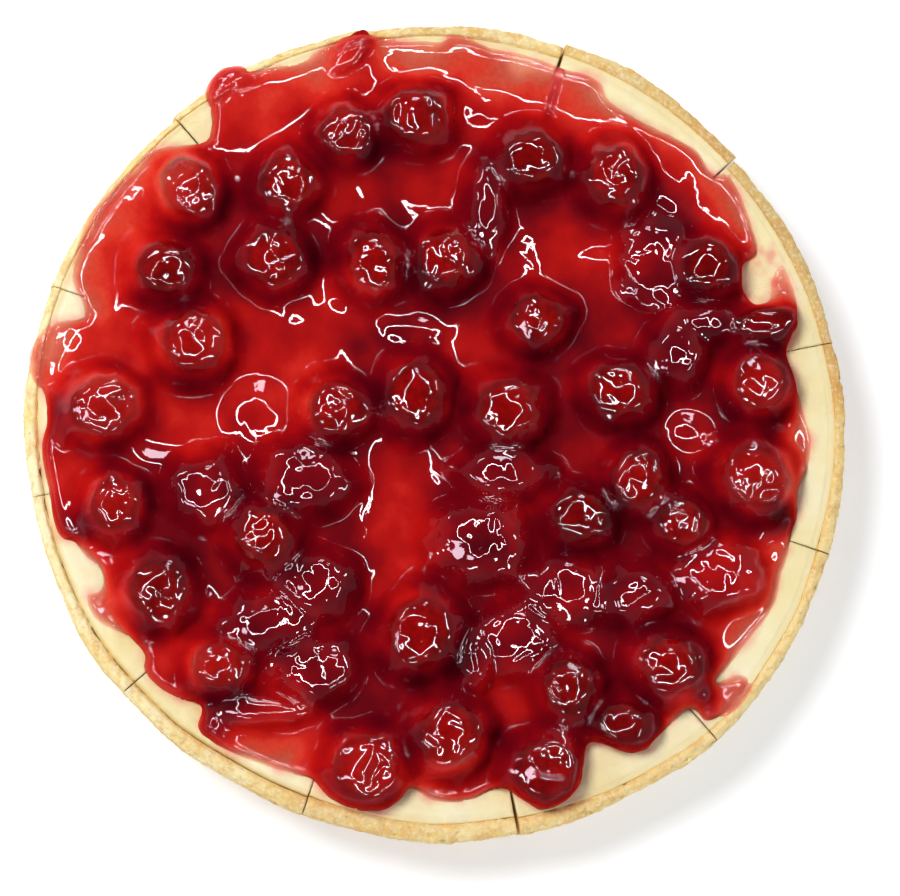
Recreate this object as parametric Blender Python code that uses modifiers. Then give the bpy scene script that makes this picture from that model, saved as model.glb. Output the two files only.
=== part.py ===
"""Cherry-topped baked cheesecake, cut into twelve slices that still stand together.

Metres, +Z up. The origin lies at the middle of the underside.
A shortcrust shell holds a cream cheese filling. On the filling lies one body of red
cherry sauce, and thirty-five cherries stand out of it.
"""

import math

import bmesh
import bpy
from mathutils import Vector
from mathutils.geometry import delaunay_2d_cdt

MM = 0.001

# The round cake, in millimetres.
RIM_R = 114.0
CAKE_H = 38.6
BASE_T = 6.0
WALL_T = 3.6
FLAT_Z = 37.0
LIP_Z = 38.2
GAP = 0.3
STEPS = 72

# The baked cake isn't quite round: how far its rim lies outside the true circle, and how
# thick its crust wall is, every 15 degrees anticlockwise from +X.
BULGES = (
    -0.5, -1.3, -1.5, -1.8, -0.9, -1.2, -0.8, -0.4, 0.3, 0.7, 1.1, 2.3,
    3.0, 2.0, 2.3, 1.4, 0.7, 1.0, 2.0, 2.1, 1.6, 2.8, 1.8, 0.6,
)
WALLS = (
    2.2, 2.2, 2.4, 2.7, 3.3, 2.6, 2.2, 2.2, 2.6, 2.2, 2.3, 2.9,
    3.8, 3.2, 3.7, 4.2, 5.1, 5.4, 5.3, 5.2, 3.6, 3.4, 3.3, 3.2,
)
BULGE_POWER = 6

# The top rises and falls a little near the rim.
WAVE_FOOT_Z = 20.0
WAVE_RUN_Z = 16.0
WAVE_START_R = 70.0
WAVE_RUN_R = 30.0

# Everything is laid out round the middle of the round cake, then moved so that the
# origin is the middle of its whole extent.
SHIFT_X = 1.5
SHIFT_Y = 1.0

# Straight knife cuts cross a little off the middle.
CUT_X = -0.8
CUT_Y = 2.8
CUT_ANGLE = 11.2
SLICES = 12
KERF = 0.6
SLICE_STEP = 360.0 / SLICES
KNIFE_REACH = 150.0
KNIFE_LOW_Z = -5.0
KNIFE_TALL = 70.0

# How far each slice has slid outward, anticlockwise from the first cut.
SLIDES = (0.2, 1.5, 0.1, 1.3, 0.3, 0.0, 0.2, 0.4, 0.0, 0.5, 0.3, 0.2)

# Corners of the crust and of the filling in it.
CORNER = 1.2
CRUST_SEAM_Z = 37.2
CRUST_TOP_W = 0.7
CRUST_LEDGE_W = 1.6
CRUST_LEDGE_DROP = 1.1
LIP_RUN = 13.0
LIP_OUT = 4.5
LIP_IN = 1.6

# Outline of the sauce as seen from above, clockwise from the top.
SAUCE_EDGE = (
    (0, 110), (3, 112), (8, 111), (15, 108), (23, 107), (31, 104), (36, 102), (42, 101),
    (46, 98), (47, 94), (54, 89), (60, 86), (68, 82), (73, 79), (77, 73), (82, 73),
    (85, 67), (88, 59), (90, 50), (86, 47), (86, 40), (89, 36), (93.5, 37), (94, 43),
    (97, 47), (100, 40.5), (101, 35), (101, 31), (99.5, 26.5), (98, 22), (100, 16),
    (103, 5), (105, -3), (104, -11), (101.5, -17), (101, -24), (99, -31), (98, -36),
    (96, -42), (95, -48), (92, -53), (88, -58), (85, -62), (81, -67), (78, -71),
    (84, -69), (88, -71), (87, -75), (84, -79), (79, -81), (75, -82), (73, -80),
    (70, -79), (65, -83), (61, -87), (58, -90), (53, -91), (47, -89), (43, -88),
    (41, -90), (40, -97), (37, -103), (33, -106), (28, -107), (23, -104), (18, -101),
    (13.5, -102), (9, -104), (3, -105), (-3, -104), (-8, -101), (-11, -104),
    (-15, -107), (-21, -107.5), (-27, -106), (-32, -103), (-36, -98.5), (-44, -96.5),
    (-50, -94.5), (-58, -91.5), (-65, -87.5), (-68, -84), (-67, -78.5), (-73, -76),
    (-79, -73), (-83, -68), (-83, -63.5), (-87, -59), (-91.5, -57), (-96, -54.5),
    (-98.5, -51), (-99, -47.5), (-95.5, -46), (-94.5, -42.5), (-96, -39), (-100, -36),
    (-102.5, -32.5), (-106.5, -31), (-108.5, -26), (-110, -17), (-112, -7.5),
    (-111.5, -2.5), (-110.5, 1), (-111, 8.5), (-113.5, 11.5), (-115.5, 16),
    (-115.5, 21), (-113.5, 25), (-110, 29), (-105, 30), (-100, 31), (-101, 36),
    (-103, 39.5), (-104, 44), (-102, 52), (-99, 59), (-95.5, 64), (-92, 68),
    (-86, 74), (-81, 79), (-74.5, 79.5), (-66, 81), (-64.5, 85.5), (-65, 90.5),
    (-66.5, 94.5), (-64, 99.5), (-60.5, 102), (-56, 102.5), (-53.5, 101), (-47, 102),
    (-39.5, 104), (-34, 107), (-27, 111), (-19, 111.5), (-12.5, 110.5), (-5.5, 110.5),
)

# Cherries that stand out of the sauce: centre x, y, half length, half width,
# turn of the long side in degrees, height of the top above the filling.
CHERRIES = (
    (-71.0, 66.5, 9.2, 8.6, 100, 13.5),
    (-78.0, 44.2, 9.5, 8.5, 0, 14.5),
    (-43.7, 68.5, 9.0, 8.6, 0, 13.5),
    (-47.3, 47.2, 9.3, 9.0, 90, 13.5),
    (-27.5, 83.0, 8.2, 8.0, 0, 13.0),
    (-7.6, 87.5, 9.9, 8.8, 0, 15.0),
    (25.3, 75.8, 9.8, 8.8, 0, 15.0),
    (-19.3, 46.6, 9.6, 8.5, 100, 14.0),
    (0.9, 47.2, 9.6, 9.0, 80, 14.5),
    (26.5, 30.2, 8.9, 7.8, 0, 14.5),
    (48.5, 70.8, 9.7, 9.0, 90, 15.5),
    (75.2, 45.7, 8.6, 8.4, 0, 14.5),
    (-69.8, 23.5, 10.3, 9.9, 0, 16.0),
    (-95.2, 5.3, 11.0, 9.3, 10, 13.5),
    (-91.6, -22.2, 8.6, 7.8, 90, 13.5),
    (-50.2, -31.0, 9.4, 9.1, 0, 16.0),
    (-79.8, -45.9, 9.6, 9.4, 0, 14.0),
    (-29.6, 4.8, 9.2, 9.0, 0, 14.5),
    (-7.1, 9.1, 10.2, 9.2, 90, 14.5),
    (18.6, 5.1, 10.6, 9.4, 0, 16.0),
    (38.9, -24.8, 9.1, 8.4, 0, 14.5),
    (49.6, 10.4, 10.1, 8.4, -15, 15.5),
    (91.0, 29.6, 9.8, 5.4, 4, 12.5),
    (89.6, 12.4, 8.8, 8.6, 0, 15.0),
    (54.7, -14.3, 9.4, 8.5, 70, 15.0),
    (87.9, -13.6, 11.2, 9.8, -20, 15.5),
    (67.6, -26.8, 7.9, 7.7, 0, 13.5),
    (-62.6, -67.2, 8.7, 7.6, 0, 14.5),
    (-6.2, -57.7, 11.2, 10.4, 80, 16.0),
    (-21.4, -95.4, 10.6, 10.2, 0, 14.5),
    (2.0, -86.3, 10.4, 10.2, 0, 16.0),
    (29.0, -96.2, 10.5, 9.6, 0, 14.5),
    (35.6, -72.8, 9.2, 8.6, 90, 14.0),
    (63.9, -66.9, 10.4, 9.4, -15, 16.0),
    (50.9, -82.9, 8.6, 6.8, 0, 13.0),
)

# Cherries drowned in the sauce, which only lift its surface: centre x, y, half
# length, half width, turn, height above the filling.
DROWNED = (
    (-66.7, -17.7, 9.0, 9.0, 0, 11.0), (-39.1, -15.0, 11.5, 9.0, 0, 11.5),
    (17.0, -12.6, 11.5, 7.0, 0, 12.0), (11.0, -32.0, 13.0, 10.7, 0, 12.0),
    (-35.2, -43.6, 9.5, 8.8, 0, 12.0), (66.4, 21.1, 8.0, 8.7, 0, 12.5),
    (77.4, -39.7, 11.5, 10.0, 0, 10.5), (54.0, -47.0, 9.8, 7.5, 0, 11.5),
    (-49.3, -57.1, 13.0, 8.0, 0, 11.0), (-50.1, -79.4, 11.0, 4.2, 0, 8.5),
    (-35.8, -68.0, 10.5, 8.0, 0, 10.5), (35.2, -45.3, 10.0, 8.0, 0, 9.5),
    (25.3, -59.4, 9.0, 9.0, 0, 9.5), (9.0, -61.0, 6.5, 11.0, 0, 11.5),
    (14.1, 64.5, 6.2, 12.0, 0, 11.0), (60.5, 47.0, 9.5, 11.0, 0, 9.0),
    (-53.5, 3.9, 12.0, 11.0, 0, 7.5), (-8.4, 26.5, 14.0, 7.0, 0, 8.5),
    (74.6, 30.0, 8.0, 5.5, 0, 11.0), (70.4, -0.8, 10.5, 8.5, 0, 9.0),
    (-59.7, 97.5, 6.0, 5.0, 0, 5.5), (-26.7, -59.5, 7.0, 7.0, 0, 8.5),
    (-24.8, 107.2, 6.0, 3.5, 25, 3.0),
)

# The sauce, in millimetres above the filling.
SAUCE_LIFT = 0.4
SAUCE_EDGE_T = 0.9
SAUCE_LEVEL = 4.4
SAUCE_RAMP = 11.0
COLLAR_OVER_MIDDLE = 0.8
CHERRY_FOOT = 1.2
CHERRY_SIDES = 10
CHERRY_RINGS = 6
CHERRY_DENT = 0.1
HOLLOW_GROWTH = 0.4

# How far the sauce climbs round a cherry, as shares of the cherry's own size.
COLLAR_REACH = 1.6
COLLAR_RUN = 0.48
DOME_REACH = 1.3
DOME_POWER = 2.4
RISE_RUN = 2.0

# Spacing of the points that carry the sauce's surface.
RING_POINTS = 8
RING_RATIO = 1.1
RING_APART = 2.6
LATTICE_STEP = 6.0
LATTICE_APART = 4.0
LATTICE_INSET = 2.2
FLOOR_STEP = 16.0
FLOOR_R = 92.0
FLOOR_INSET = 4.0
FLOOR_RING_R = 97.0
FLOOR_RING_INSET = 2.0
ROW_RATIO = 0.866


def clear_scene():
    for thing in list(bpy.data.objects):
        bpy.data.objects.remove(thing, do_unlink=True)


def new_collection(name):
    group = bpy.data.collections.new(name)
    bpy.context.scene.collection.children.link(group)
    return group


def material(name, colour, roughness):
    mat = bpy.data.materials.new(name)
    mat.use_nodes = True
    shader = mat.node_tree.nodes["Principled BSDF"]
    shader.inputs["Base Color"].default_value = (*colour, 1.0)
    shader.inputs["Roughness"].default_value = roughness
    shader.inputs["Metallic"].default_value = 0.0
    return mat


def add_object(name, mesh, group):
    thing = bpy.data.objects.new(name, mesh)
    group.objects.link(thing)
    return thing


def bake(thing):
    """Put the result of an object's modifiers into a mesh of its own."""
    graph = bpy.context.evaluated_depsgraph_get()
    mesh = bpy.data.meshes.new_from_object(thing.evaluated_get(graph))
    thing.modifiers.clear()
    thing.data = mesh


def ease(t):
    t = min(1.0, max(0.0, t))
    return t * t * (3.0 - 2.0 * t)


def around(table, turn):
    """Value of an evenly spaced table in a direction given in radians."""
    spot = (math.degrees(turn) % 360.0) * len(table) / 360.0
    low = int(spot) % len(table)
    share = ease(spot - int(spot))
    return table[low] * (1.0 - share) + table[(low + 1) % len(table)] * share


def seam_shift(turn):
    """How far the seam between filling and crust lies outside its true circle."""
    return around(BULGES, turn) + WALL_T - around(WALLS, turn)


def rim_shift(turn):
    return around(BULGES, turn) + 0.2 * math.sin(8 * turn + 2.0) + 0.2 * math.sin(19 * turn)


def top_wave(turn):
    return 0.25 * math.sin(2 * turn + 0.6) + 0.18 * math.sin(7 * turn + 1.0) + 0.16 * math.sin(16 * turn + 2.4)


def uneven(point):
    """Move a point of the true round cake, in metres, to its place in the baked one."""
    radius = math.hypot(point.x, point.y) / MM
    if radius < 1.0:
        return
    turn = math.atan2(point.y, point.x)
    seam_r = RIM_R - WALL_T
    if radius <= seam_r:
        shift = seam_shift(turn) * (radius / seam_r) ** BULGE_POWER
    else:
        share = (radius - seam_r) / WALL_T
        shift = seam_shift(turn) * (1.0 - share) + rim_shift(turn) * share
    height = point.z / MM
    near_rim = ease((radius - WAVE_START_R) / WAVE_RUN_R)
    lift = top_wave(turn) * ease((height - WAVE_FOOT_Z) / WAVE_RUN_Z) * near_rim
    point.x *= (radius + shift) / radius
    point.y *= (radius + shift) / radius
    point.z += lift * MM


def turned(name, profile, group):
    """A closed turned solid from profile points (radius, height) in millimetres."""
    mesh = bpy.data.meshes.new(name)
    points = [(r * MM, 0.0, z * MM) for r, z in profile]
    edges = [(i, i + 1) for i in range(len(points) - 1)]
    mesh.from_pydata(points, edges, [])
    thing = add_object(name, mesh, group)
    screw = thing.modifiers.new("Turn", "SCREW")
    screw.steps = STEPS
    screw.render_steps = STEPS
    screw.use_merge_vertices = True
    screw.merge_threshold = 0.00005
    bake(thing)
    for vertex in thing.data.vertices:
        uneven(vertex.co)
    return thing


def wedge(name, middle, group):
    """A three-cornered prism between two knife cuts, less half a kerf on each side."""
    half = math.radians(SLICE_STEP / 2)
    set_back = KERF / 2 / math.sin(half)
    tip_x = CUT_X + set_back * math.cos(middle)
    tip_y = CUT_Y + set_back * math.sin(middle)
    tip = Vector((tip_x, tip_y, KNIFE_LOW_Z))
    corners = [tip]
    for turn in (middle - half, middle + half):
        corners.append(tip + KNIFE_REACH * Vector((math.cos(turn), math.sin(turn), 0.0)))
    bm = bmesh.new()
    face = bm.faces.new([bm.verts.new(corner * MM) for corner in corners])
    grown = bmesh.ops.extrude_face_region(bm, geom=[face])
    raised = [v for v in grown["geom"] if isinstance(v, bmesh.types.BMVert)]
    bmesh.ops.translate(bm, verts=raised, vec=(0.0, 0.0, KNIFE_TALL * MM))
    bmesh.ops.recalc_face_normals(bm, faces=bm.faces)
    mesh = bpy.data.meshes.new(name)
    bm.to_mesh(mesh)
    bm.free()
    thing = add_object(name, mesh, group)
    thing.hide_render = True
    thing.display_type = "WIRE"
    return thing


def cut_slices(whole, stem, mat, group, cutters):
    for index in range(SLICES):
        middle = math.radians(CUT_ANGLE + SLICE_STEP * (index + 0.5))
        knife = wedge("knife", middle, cutters)
        piece = add_object(f"{stem}_{index + 1:02d}", whole.data.copy(), group)
        keep = piece.modifiers.new("Keep", "BOOLEAN")
        keep.operation = "INTERSECT"
        keep.object = knife
        bake(piece)
        bpy.data.objects.remove(knife, do_unlink=True)
        slide = SLIDES[index] * MM
        piece.location = (slide * math.cos(middle), slide * math.sin(middle), 0.0)
        finish(piece, mat)


def finish(thing, mat):
    thing.data.materials.clear()
    thing.data.materials.append(mat)
    thing.data.shade_smooth()
    thing.data.set_sharp_from_angle(angle=math.radians(42))


def crust_profile():
    inner = RIM_R - WALL_T
    ledge_z = CAKE_H - CRUST_LEDGE_DROP
    return (
        (0.0, BASE_T), (inner - CORNER, BASE_T), (inner, BASE_T + CORNER), (inner, CRUST_SEAM_Z),
        (inner + CRUST_TOP_W, CAKE_H), (RIM_R - CRUST_LEDGE_W, CAKE_H - 0.1),
        (RIM_R - CRUST_LEDGE_W + 0.3, ledge_z), (RIM_R - 0.3, ledge_z - 0.4),
        (RIM_R, ledge_z - 1.9), (RIM_R - 0.3, CAKE_H / 2), (RIM_R - 0.8, CAKE_H / 12),
        (RIM_R - 2 * CORNER, 0.0), (0.0, 0.0),
    )


def filling_profile():
    outer = RIM_R - WALL_T - GAP
    floor = BASE_T + GAP
    return (
        (0.0, FLAT_Z), (outer - LIP_RUN, FLAT_Z), (outer - LIP_OUT, LIP_Z),
        (outer - LIP_IN, LIP_Z - 0.1), (outer - 0.2, FLAT_Z - 0.2),
        (outer, floor + CORNER), (outer - CORNER, floor), (0.0, floor),
    )


def cover_top(x, y):
    """Height of the filling, and of the crust wall past it, under the sauce."""
    turn = math.atan2(y, x)
    radius = math.hypot(x, y)
    outer = RIM_R - WALL_T - GAP
    inward = radius - seam_shift(turn) * min(1.0, radius / outer) ** BULGE_POWER
    line = (
        (0.0, FLAT_Z), (outer - LIP_RUN - 1.0, FLAT_Z), (outer - LIP_RUN / 2, CAKE_H - 0.4),
        (outer - LIP_RUN / 4, CAKE_H + GAP), (KNIFE_REACH, CAKE_H + GAP),
    )
    height = CAKE_H + GAP
    for (r0, z0), (r1, z1) in zip(line, line[1:]):
        if r0 <= inward <= r1:
            height = z0 + (z1 - z0) * (inward - r0) / max(0.001, r1 - r0)
            break
    return height + max(0.0, top_wave(turn)) * ease((radius - WAVE_START_R) / WAVE_RUN_R)


def edge_distance(x, y):
    """Distance from a point to the sauce's outline."""
    here = Vector((x, y))
    best = 1e9
    for index, start in enumerate(SAUCE_EDGE):
        a = Vector(start)
        b = Vector(SAUCE_EDGE[(index + 1) % len(SAUCE_EDGE)])
        run = b - a
        share = min(1.0, max(0.0, (here - a).dot(run) / run.length_squared))
        best = min(best, (here - a - run * share).length)
    return best


def inside_edge(x, y):
    hits = False
    for index, (x0, y0) in enumerate(SAUCE_EDGE):
        x1, y1 = SAUCE_EDGE[(index + 1) % len(SAUCE_EDGE)]
        if (y0 > y) != (y1 > y) and x < x0 + (y - y0) * (x1 - x0) / (y1 - y0):
            hits = not hits
    return hits


def reach_ratio(bump, x, y):
    """How far out a point lies on a cherry's footprint, 1 at its edge."""
    turn = math.radians(bump[4])
    dx = x - bump[0]
    dy = y - bump[1]
    along = dx * math.cos(turn) + dy * math.sin(turn)
    across = dy * math.cos(turn) - dx * math.sin(turn)
    return math.hypot(along / bump[2], across / bump[3])


def sauce_thickness(x, y, at_edge):
    """Height of the sauce's surface above the filling."""
    if at_edge:
        return SAUCE_EDGE_T
    inward = edge_distance(x, y)
    ramp = ease(inward / SAUCE_RAMP + 0.1)
    best = SAUCE_EDGE_T + (SAUCE_LEVEL - SAUCE_EDGE_T) * ramp
    for bump in CHERRIES:
        ratio = reach_ratio(bump, x, y)
        if ratio < COLLAR_REACH:
            collar = (CHERRY_FOOT + bump[5]) / 2 + COLLAR_OVER_MIDDLE
            climb = ease((COLLAR_REACH - ratio) / COLLAR_RUN) * min(1.0, inward / RISE_RUN)
            best = max(best, best + (collar - best) * climb)
    for bump in DROWNED:
        share = reach_ratio(bump, x, y) / DOME_REACH
        if share < 1.0:
            dome = bump[5] * math.sqrt(1.0 - share ** DOME_POWER)
            best = max(best, dome * min(1.0, inward / RISE_RUN))
    return best


def lattice(step):
    """Points of a triangular lattice that covers the cake."""
    points = []
    count = int(RIM_R / (step * ROW_RATIO)) + 2
    for row in range(-count, count + 1):
        for column in range(-count, count + 1):
            points.append((step * (column + 0.5 * (row % 2)), step * ROW_RATIO * row))
    return points


def sauce_points():
    """Points over the sauce: a ring round each cherry and a triangular lattice between."""
    chosen = []

    def try_point(x, y, apart):
        if not inside_edge(x, y) or edge_distance(x, y) < LATTICE_INSET:
            return
        if all(math.hypot(x - px, y - py) >= apart for px, py in chosen):
            chosen.append((x, y))

    for bump in CHERRIES:
        turn = math.radians(bump[4])
        for corner in range(RING_POINTS):
            angle = math.tau * corner / RING_POINTS
            along = RING_RATIO * bump[2] * math.cos(angle)
            across = RING_RATIO * bump[3] * math.sin(angle)
            x = bump[0] + along * math.cos(turn) - across * math.sin(turn)
            y = bump[1] + along * math.sin(turn) + across * math.cos(turn)
            if all(reach_ratio(other, x, y) > 1.0 for other in CHERRIES):
                try_point(x, y, RING_APART)
    for x, y in lattice(LATTICE_STEP):
        if all(reach_ratio(bump, x, y) > RING_RATIO for bump in CHERRIES):
            try_point(x, y, LATTICE_APART)
    return chosen


def sheet(points):
    """Triangles inside the sauce's outline, through the outline and the points given."""
    count = len(SAUCE_EDGE)
    spots = [Vector(p) for p in SAUCE_EDGE] + [Vector(p) for p in points]
    edges = [(i, (i + 1) % count) for i in range(count)]
    flat = delaunay_2d_cdt(spots, edges, [], 1, 1e-6)
    return flat[0], flat[2]


def sauce_body(group, mat):
    count = len(SAUCE_EDGE)
    floor_points = []
    for x, y in lattice(FLOOR_STEP):
        clear = inside_edge(x, y) and edge_distance(x, y) > FLOOR_INSET
        if clear and math.hypot(x, y) < FLOOR_R:
            floor_points.append((x, y))
    for turn_step in range(STEPS):
        turn = math.tau * turn_step / STEPS
        x = FLOOR_RING_R * math.cos(turn)
        y = FLOOR_RING_R * math.sin(turn)
        if inside_edge(x, y) and edge_distance(x, y) > FLOOR_RING_INSET:
            floor_points.append((x, y))
    bm = bmesh.new()
    rims = []
    for side, points in ((1, sauce_points()), (-1, floor_points)):
        spots, triangles = sheet(points)
        corners = []
        for index, spot in enumerate(spots):
            z = cover_top(spot.x, spot.y) + SAUCE_LIFT
            if side > 0:
                z += sauce_thickness(spot.x, spot.y, index < count)
            corners.append(bm.verts.new((spot.x * MM, spot.y * MM, z * MM)))
        for triangle in triangles:
            bm.faces.new([corners[i] for i in triangle])
        rims.append(corners[:count])
    for index in range(count):
        after = (index + 1) % count
        bm.faces.new((rims[0][index], rims[0][after], rims[1][after]))
        bm.faces.new((rims[0][index], rims[1][after], rims[1][index]))
    bmesh.ops.recalc_face_normals(bm, faces=bm.faces)
    mesh = bpy.data.meshes.new("sauce")
    bm.to_mesh(mesh)
    bm.free()
    thing = add_object("sauce", mesh, group)
    finish(thing, mat)
    return thing


def cherry(name, spec, group, grow):
    """A flattened ball with a dent on top, larger all round by grow."""
    x, y, half_length, half_width, turn, top = spec
    bm = bmesh.new()
    bmesh.ops.create_uvsphere(bm, u_segments=CHERRY_SIDES, v_segments=CHERRY_RINGS, radius=1.0)
    for vertex in bm.verts:
        if vertex.co.z > 0.99:
            vertex.co.z -= CHERRY_DENT
    half_height = (top - CHERRY_FOOT) / 2
    stretch = (half_length + grow, half_width + grow, half_height + grow)
    bmesh.ops.scale(bm, verts=bm.verts, vec=Vector(stretch) * MM)
    mesh = bpy.data.meshes.new(name)
    bm.to_mesh(mesh)
    bm.free()
    thing = add_object(name, mesh, group)
    thing.location = (x * MM, y * MM, (FLAT_Z + CHERRY_FOOT + half_height) * MM)
    thing.rotation_euler.z = math.radians(turn)
    return thing


def main():
    clear_scene()
    parts = new_collection("cherry_cheesecake")
    cutters = new_collection("cutters")
    crust_mat = material("crust", (0.70, 0.47, 0.19), 0.75)
    cream_mat = material("cream", (0.87, 0.77, 0.54), 0.45)
    sauce_mat = material("sauce", (0.36, 0.012, 0.012), 0.12)
    cherry_mat = material("cherry", (0.25, 0.01, 0.018), 0.2)

    whole_crust = turned("whole_crust", crust_profile(), cutters)
    cut_slices(whole_crust, "crust", crust_mat, parts, cutters)
    bpy.data.objects.remove(whole_crust, do_unlink=True)

    whole_filling = turned("whole_filling", filling_profile(), cutters)
    cut_slices(whole_filling, "filling", cream_mat, parts, cutters)
    bpy.data.objects.remove(whole_filling, do_unlink=True)

    sauce = sauce_body(parts, sauce_mat)
    for index, spec in enumerate(CHERRIES):
        fruit = cherry(f"cherry_{index + 1:02d}", spec, parts, 0.0)
        finish(fruit, cherry_mat)
        cherry("hollow", spec, cutters, HOLLOW_GROWTH)

    # One cut makes every hollow in the sauce.
    hollows = sauce.modifiers.new("Hollows", "BOOLEAN")
    hollows.operation = "DIFFERENCE"
    hollows.operand_type = "COLLECTION"
    hollows.collection = cutters
    bake(sauce)
    finish(sauce, sauce_mat)
    for thing in list(cutters.objects):
        bpy.data.objects.remove(thing, do_unlink=True)
    for thing in parts.objects:
        thing.location += Vector((SHIFT_X, SHIFT_Y, 0.0)) * MM


main()
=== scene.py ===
"""Cherry-topped baked cheesecake cut into twelve slices, seen from above on a pale floor."""

import math
from itertools import product
from typing import NamedTuple

import bmesh
import bpy
import numpy as np
from mathutils import Matrix, Vector


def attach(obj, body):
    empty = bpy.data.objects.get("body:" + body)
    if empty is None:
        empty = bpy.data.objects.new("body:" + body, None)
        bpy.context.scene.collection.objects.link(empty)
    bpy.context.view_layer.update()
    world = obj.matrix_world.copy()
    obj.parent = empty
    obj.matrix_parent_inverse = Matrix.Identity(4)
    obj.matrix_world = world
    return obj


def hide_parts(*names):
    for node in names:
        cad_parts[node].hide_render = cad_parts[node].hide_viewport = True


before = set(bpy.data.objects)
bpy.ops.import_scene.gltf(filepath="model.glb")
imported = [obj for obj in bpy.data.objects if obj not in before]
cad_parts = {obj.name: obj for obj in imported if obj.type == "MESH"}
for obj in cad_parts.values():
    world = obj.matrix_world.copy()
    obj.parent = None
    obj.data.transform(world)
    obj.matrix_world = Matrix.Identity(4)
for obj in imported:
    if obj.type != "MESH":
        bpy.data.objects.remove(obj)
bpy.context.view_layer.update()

MM = 0.001

# The cake's own dimensions, in millimetres, as in the frame.
RIM_R = 114.0
CAKE_H = 38.6
BASE_T = 6.0
WALL_T = 3.6
FLAT_Z = 37.0
LIP_Z = 38.2
GAP = 0.3
# From the cake's own middle to the middle of the frame.
SHIFT = Vector((1.5, 1.0, 0.0))

# How far the rim stands out, every 15 degrees anticlockwise from the right.
BULGES = (
    -0.5, -1.3, -1.5, -1.8, -0.9, -1.2, -0.8, -0.4, 0.3, 0.7, 1.1, 2.3,
    3.0, 2.0, 2.3, 1.4, 0.7, 1.0, 2.0, 2.1, 1.6, 2.8, 1.8, 0.6,
)
# How wide the rim is, in the same directions.
WALLS = (
    2.2, 2.2, 2.4, 2.7, 3.3, 2.6, 2.2, 2.2, 2.6, 2.2, 2.3, 2.9,
    3.8, 3.2, 3.7, 4.2, 5.1, 5.4, 5.3, 5.2, 3.6, 3.4, 3.3, 3.2,
)
# How much further the crumbly wall stands out than its plain form, in the same directions.
CRUMBLE = (
    1.0, 1.6, 1.6, 0.4, 1.2, 1.4, 1.0, 0.4, 0.2, -0.4, 0.4, 0.0,
    -0.3, -0.5, -0.2, -0.6, -0.3, 0.0, 0.0, 0.0, 0.2, 0.2, 0.4, 0.6,
)
# How brown the crust is baked, in the same directions.
BAKE = (
    0.05, 0.05, 0.05, 0.02, 0.0, -0.02, -0.03, -0.04, -0.06, -0.08, -0.08, -0.11,
    -0.16, -0.15, -0.15, -0.13, -0.04, 0.0, 0.0, -0.04, -0.03, -0.03, 0.0, 0.0,
)
# Painted shade and light on the crust in the same directions: above zero painted greyer and darker, below
# zero painted paler.
PAINTED_SHADE_AND_LIGHT = (
    0.1, 0.5, 0.9, 0.6, 0.6, 0.2, 0.5, 0.3, 0.0, 0.0, 0.0, 0.0,
    0.0, 0.0, 0.0, 0.0, 0.15, 0.35, 0.1, -0.6, -0.9, -1.0, -1.0, -0.6,
)

# Where the cuts meet, and the direction of the first one.
CUT_X = -0.8
CUT_Y = 2.8
CUT_ANGLE = 11.2
SLICES = 12
SLICE_STEP = 360.0 / SLICES
# Width of each knife cut at the rim, from the first one anticlockwise.
KERFS = (0.2, 0.1, 0.55, 0.22, 0.1, 0.2, 0.2, 0.22, 0.28, 0.9, 0.22, 0.28)
WIDEST = 9
# Slices that stand together reach this far into one another, so that no gap shows.
OVERLAP = 0.02
# Nearer to the middle than this the points of a slice are drawn to where the cuts meet.
TIP_R = 4.5
# How far each slice has slid outward. Its inner part, up to the first radius, has not.
SLIDES = (0.2, 1.5, 0.1, 1.3, 0.3, 0.0, 0.2, 0.4, 0.0, 0.5, 0.3, 0.2)
SLIDE_FROM = 86.0
SLIDE_WHOLE = 102.0

# Corners of the sauce's outline, joined by a smooth line.
SAUCE_EDGE = (
    (0, 110), (3, 112), (8, 111), (15, 108), (23, 107), (31, 104), (36, 102), (42, 101),
    (46, 98), (47, 94), (54, 89), (60, 86), (68, 82), (73, 79), (77, 73), (82, 73),
    (85, 67), (88, 59), (90, 50), (86, 47), (86, 40), (89, 36), (93.5, 37), (94, 43),
    (97, 47), (100, 40.5), (101, 35), (101, 31), (99.5, 26.5), (98, 22), (100, 16),
    (103, 5), (105, -3), (104, -11), (101.5, -17), (101, -24), (99, -31), (98, -36),
    (96, -42), (95, -48), (92, -53), (88, -58), (85, -62), (81, -67), (78, -71),
    (84, -69), (88, -71), (87, -75), (84, -79), (79, -81), (75, -82), (73, -80),
    (70, -79), (65, -83), (61, -87), (58, -90), (53, -91), (47, -89), (43, -88),
    (41, -90), (40, -97), (37, -103), (33, -106), (28, -107), (23, -104), (18, -101),
    (13.5, -102), (9, -104), (3, -105), (-3, -104), (-8, -101), (-11, -104),
    (-15, -107), (-21, -107.5), (-27, -106), (-32, -103), (-36, -98.5), (-44, -96.5),
    (-50, -94.5), (-58, -91.5), (-65, -87.5), (-68, -84), (-67, -78.5), (-73, -76),
    (-79, -73), (-83, -68), (-83, -63.5), (-87, -59), (-91.5, -57), (-96, -54.5),
    (-98.5, -51), (-99, -47.5), (-95.5, -46), (-94.5, -42.5), (-96, -39), (-100, -36),
    (-102.5, -32.5), (-106.5, -31), (-108.5, -26), (-110, -17), (-112, -7.5),
    (-111.5, -2.5), (-110.5, 1), (-111, 8.5), (-113.5, 11.5), (-115.5, 16),
    (-115.5, 21), (-113.5, 25), (-110, 29), (-105, 30), (-100, 31), (-101, 36),
    (-103, 39.5), (-104, 44), (-102, 52), (-99, 59), (-95.5, 64), (-92, 68),
    (-86, 74), (-81, 79), (-74.5, 79.5), (-66, 81), (-64.5, 85.5), (-65, 90.5),
    (-66.5, 94.5), (-64, 99.5), (-60.5, 102), (-56, 102.5), (-53.5, 101), (-47, 102),
    (-39.5, 104), (-34, 107), (-27, 111), (-19, 111.5), (-12.5, 110.5), (-5.5, 110.5),
)
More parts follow.
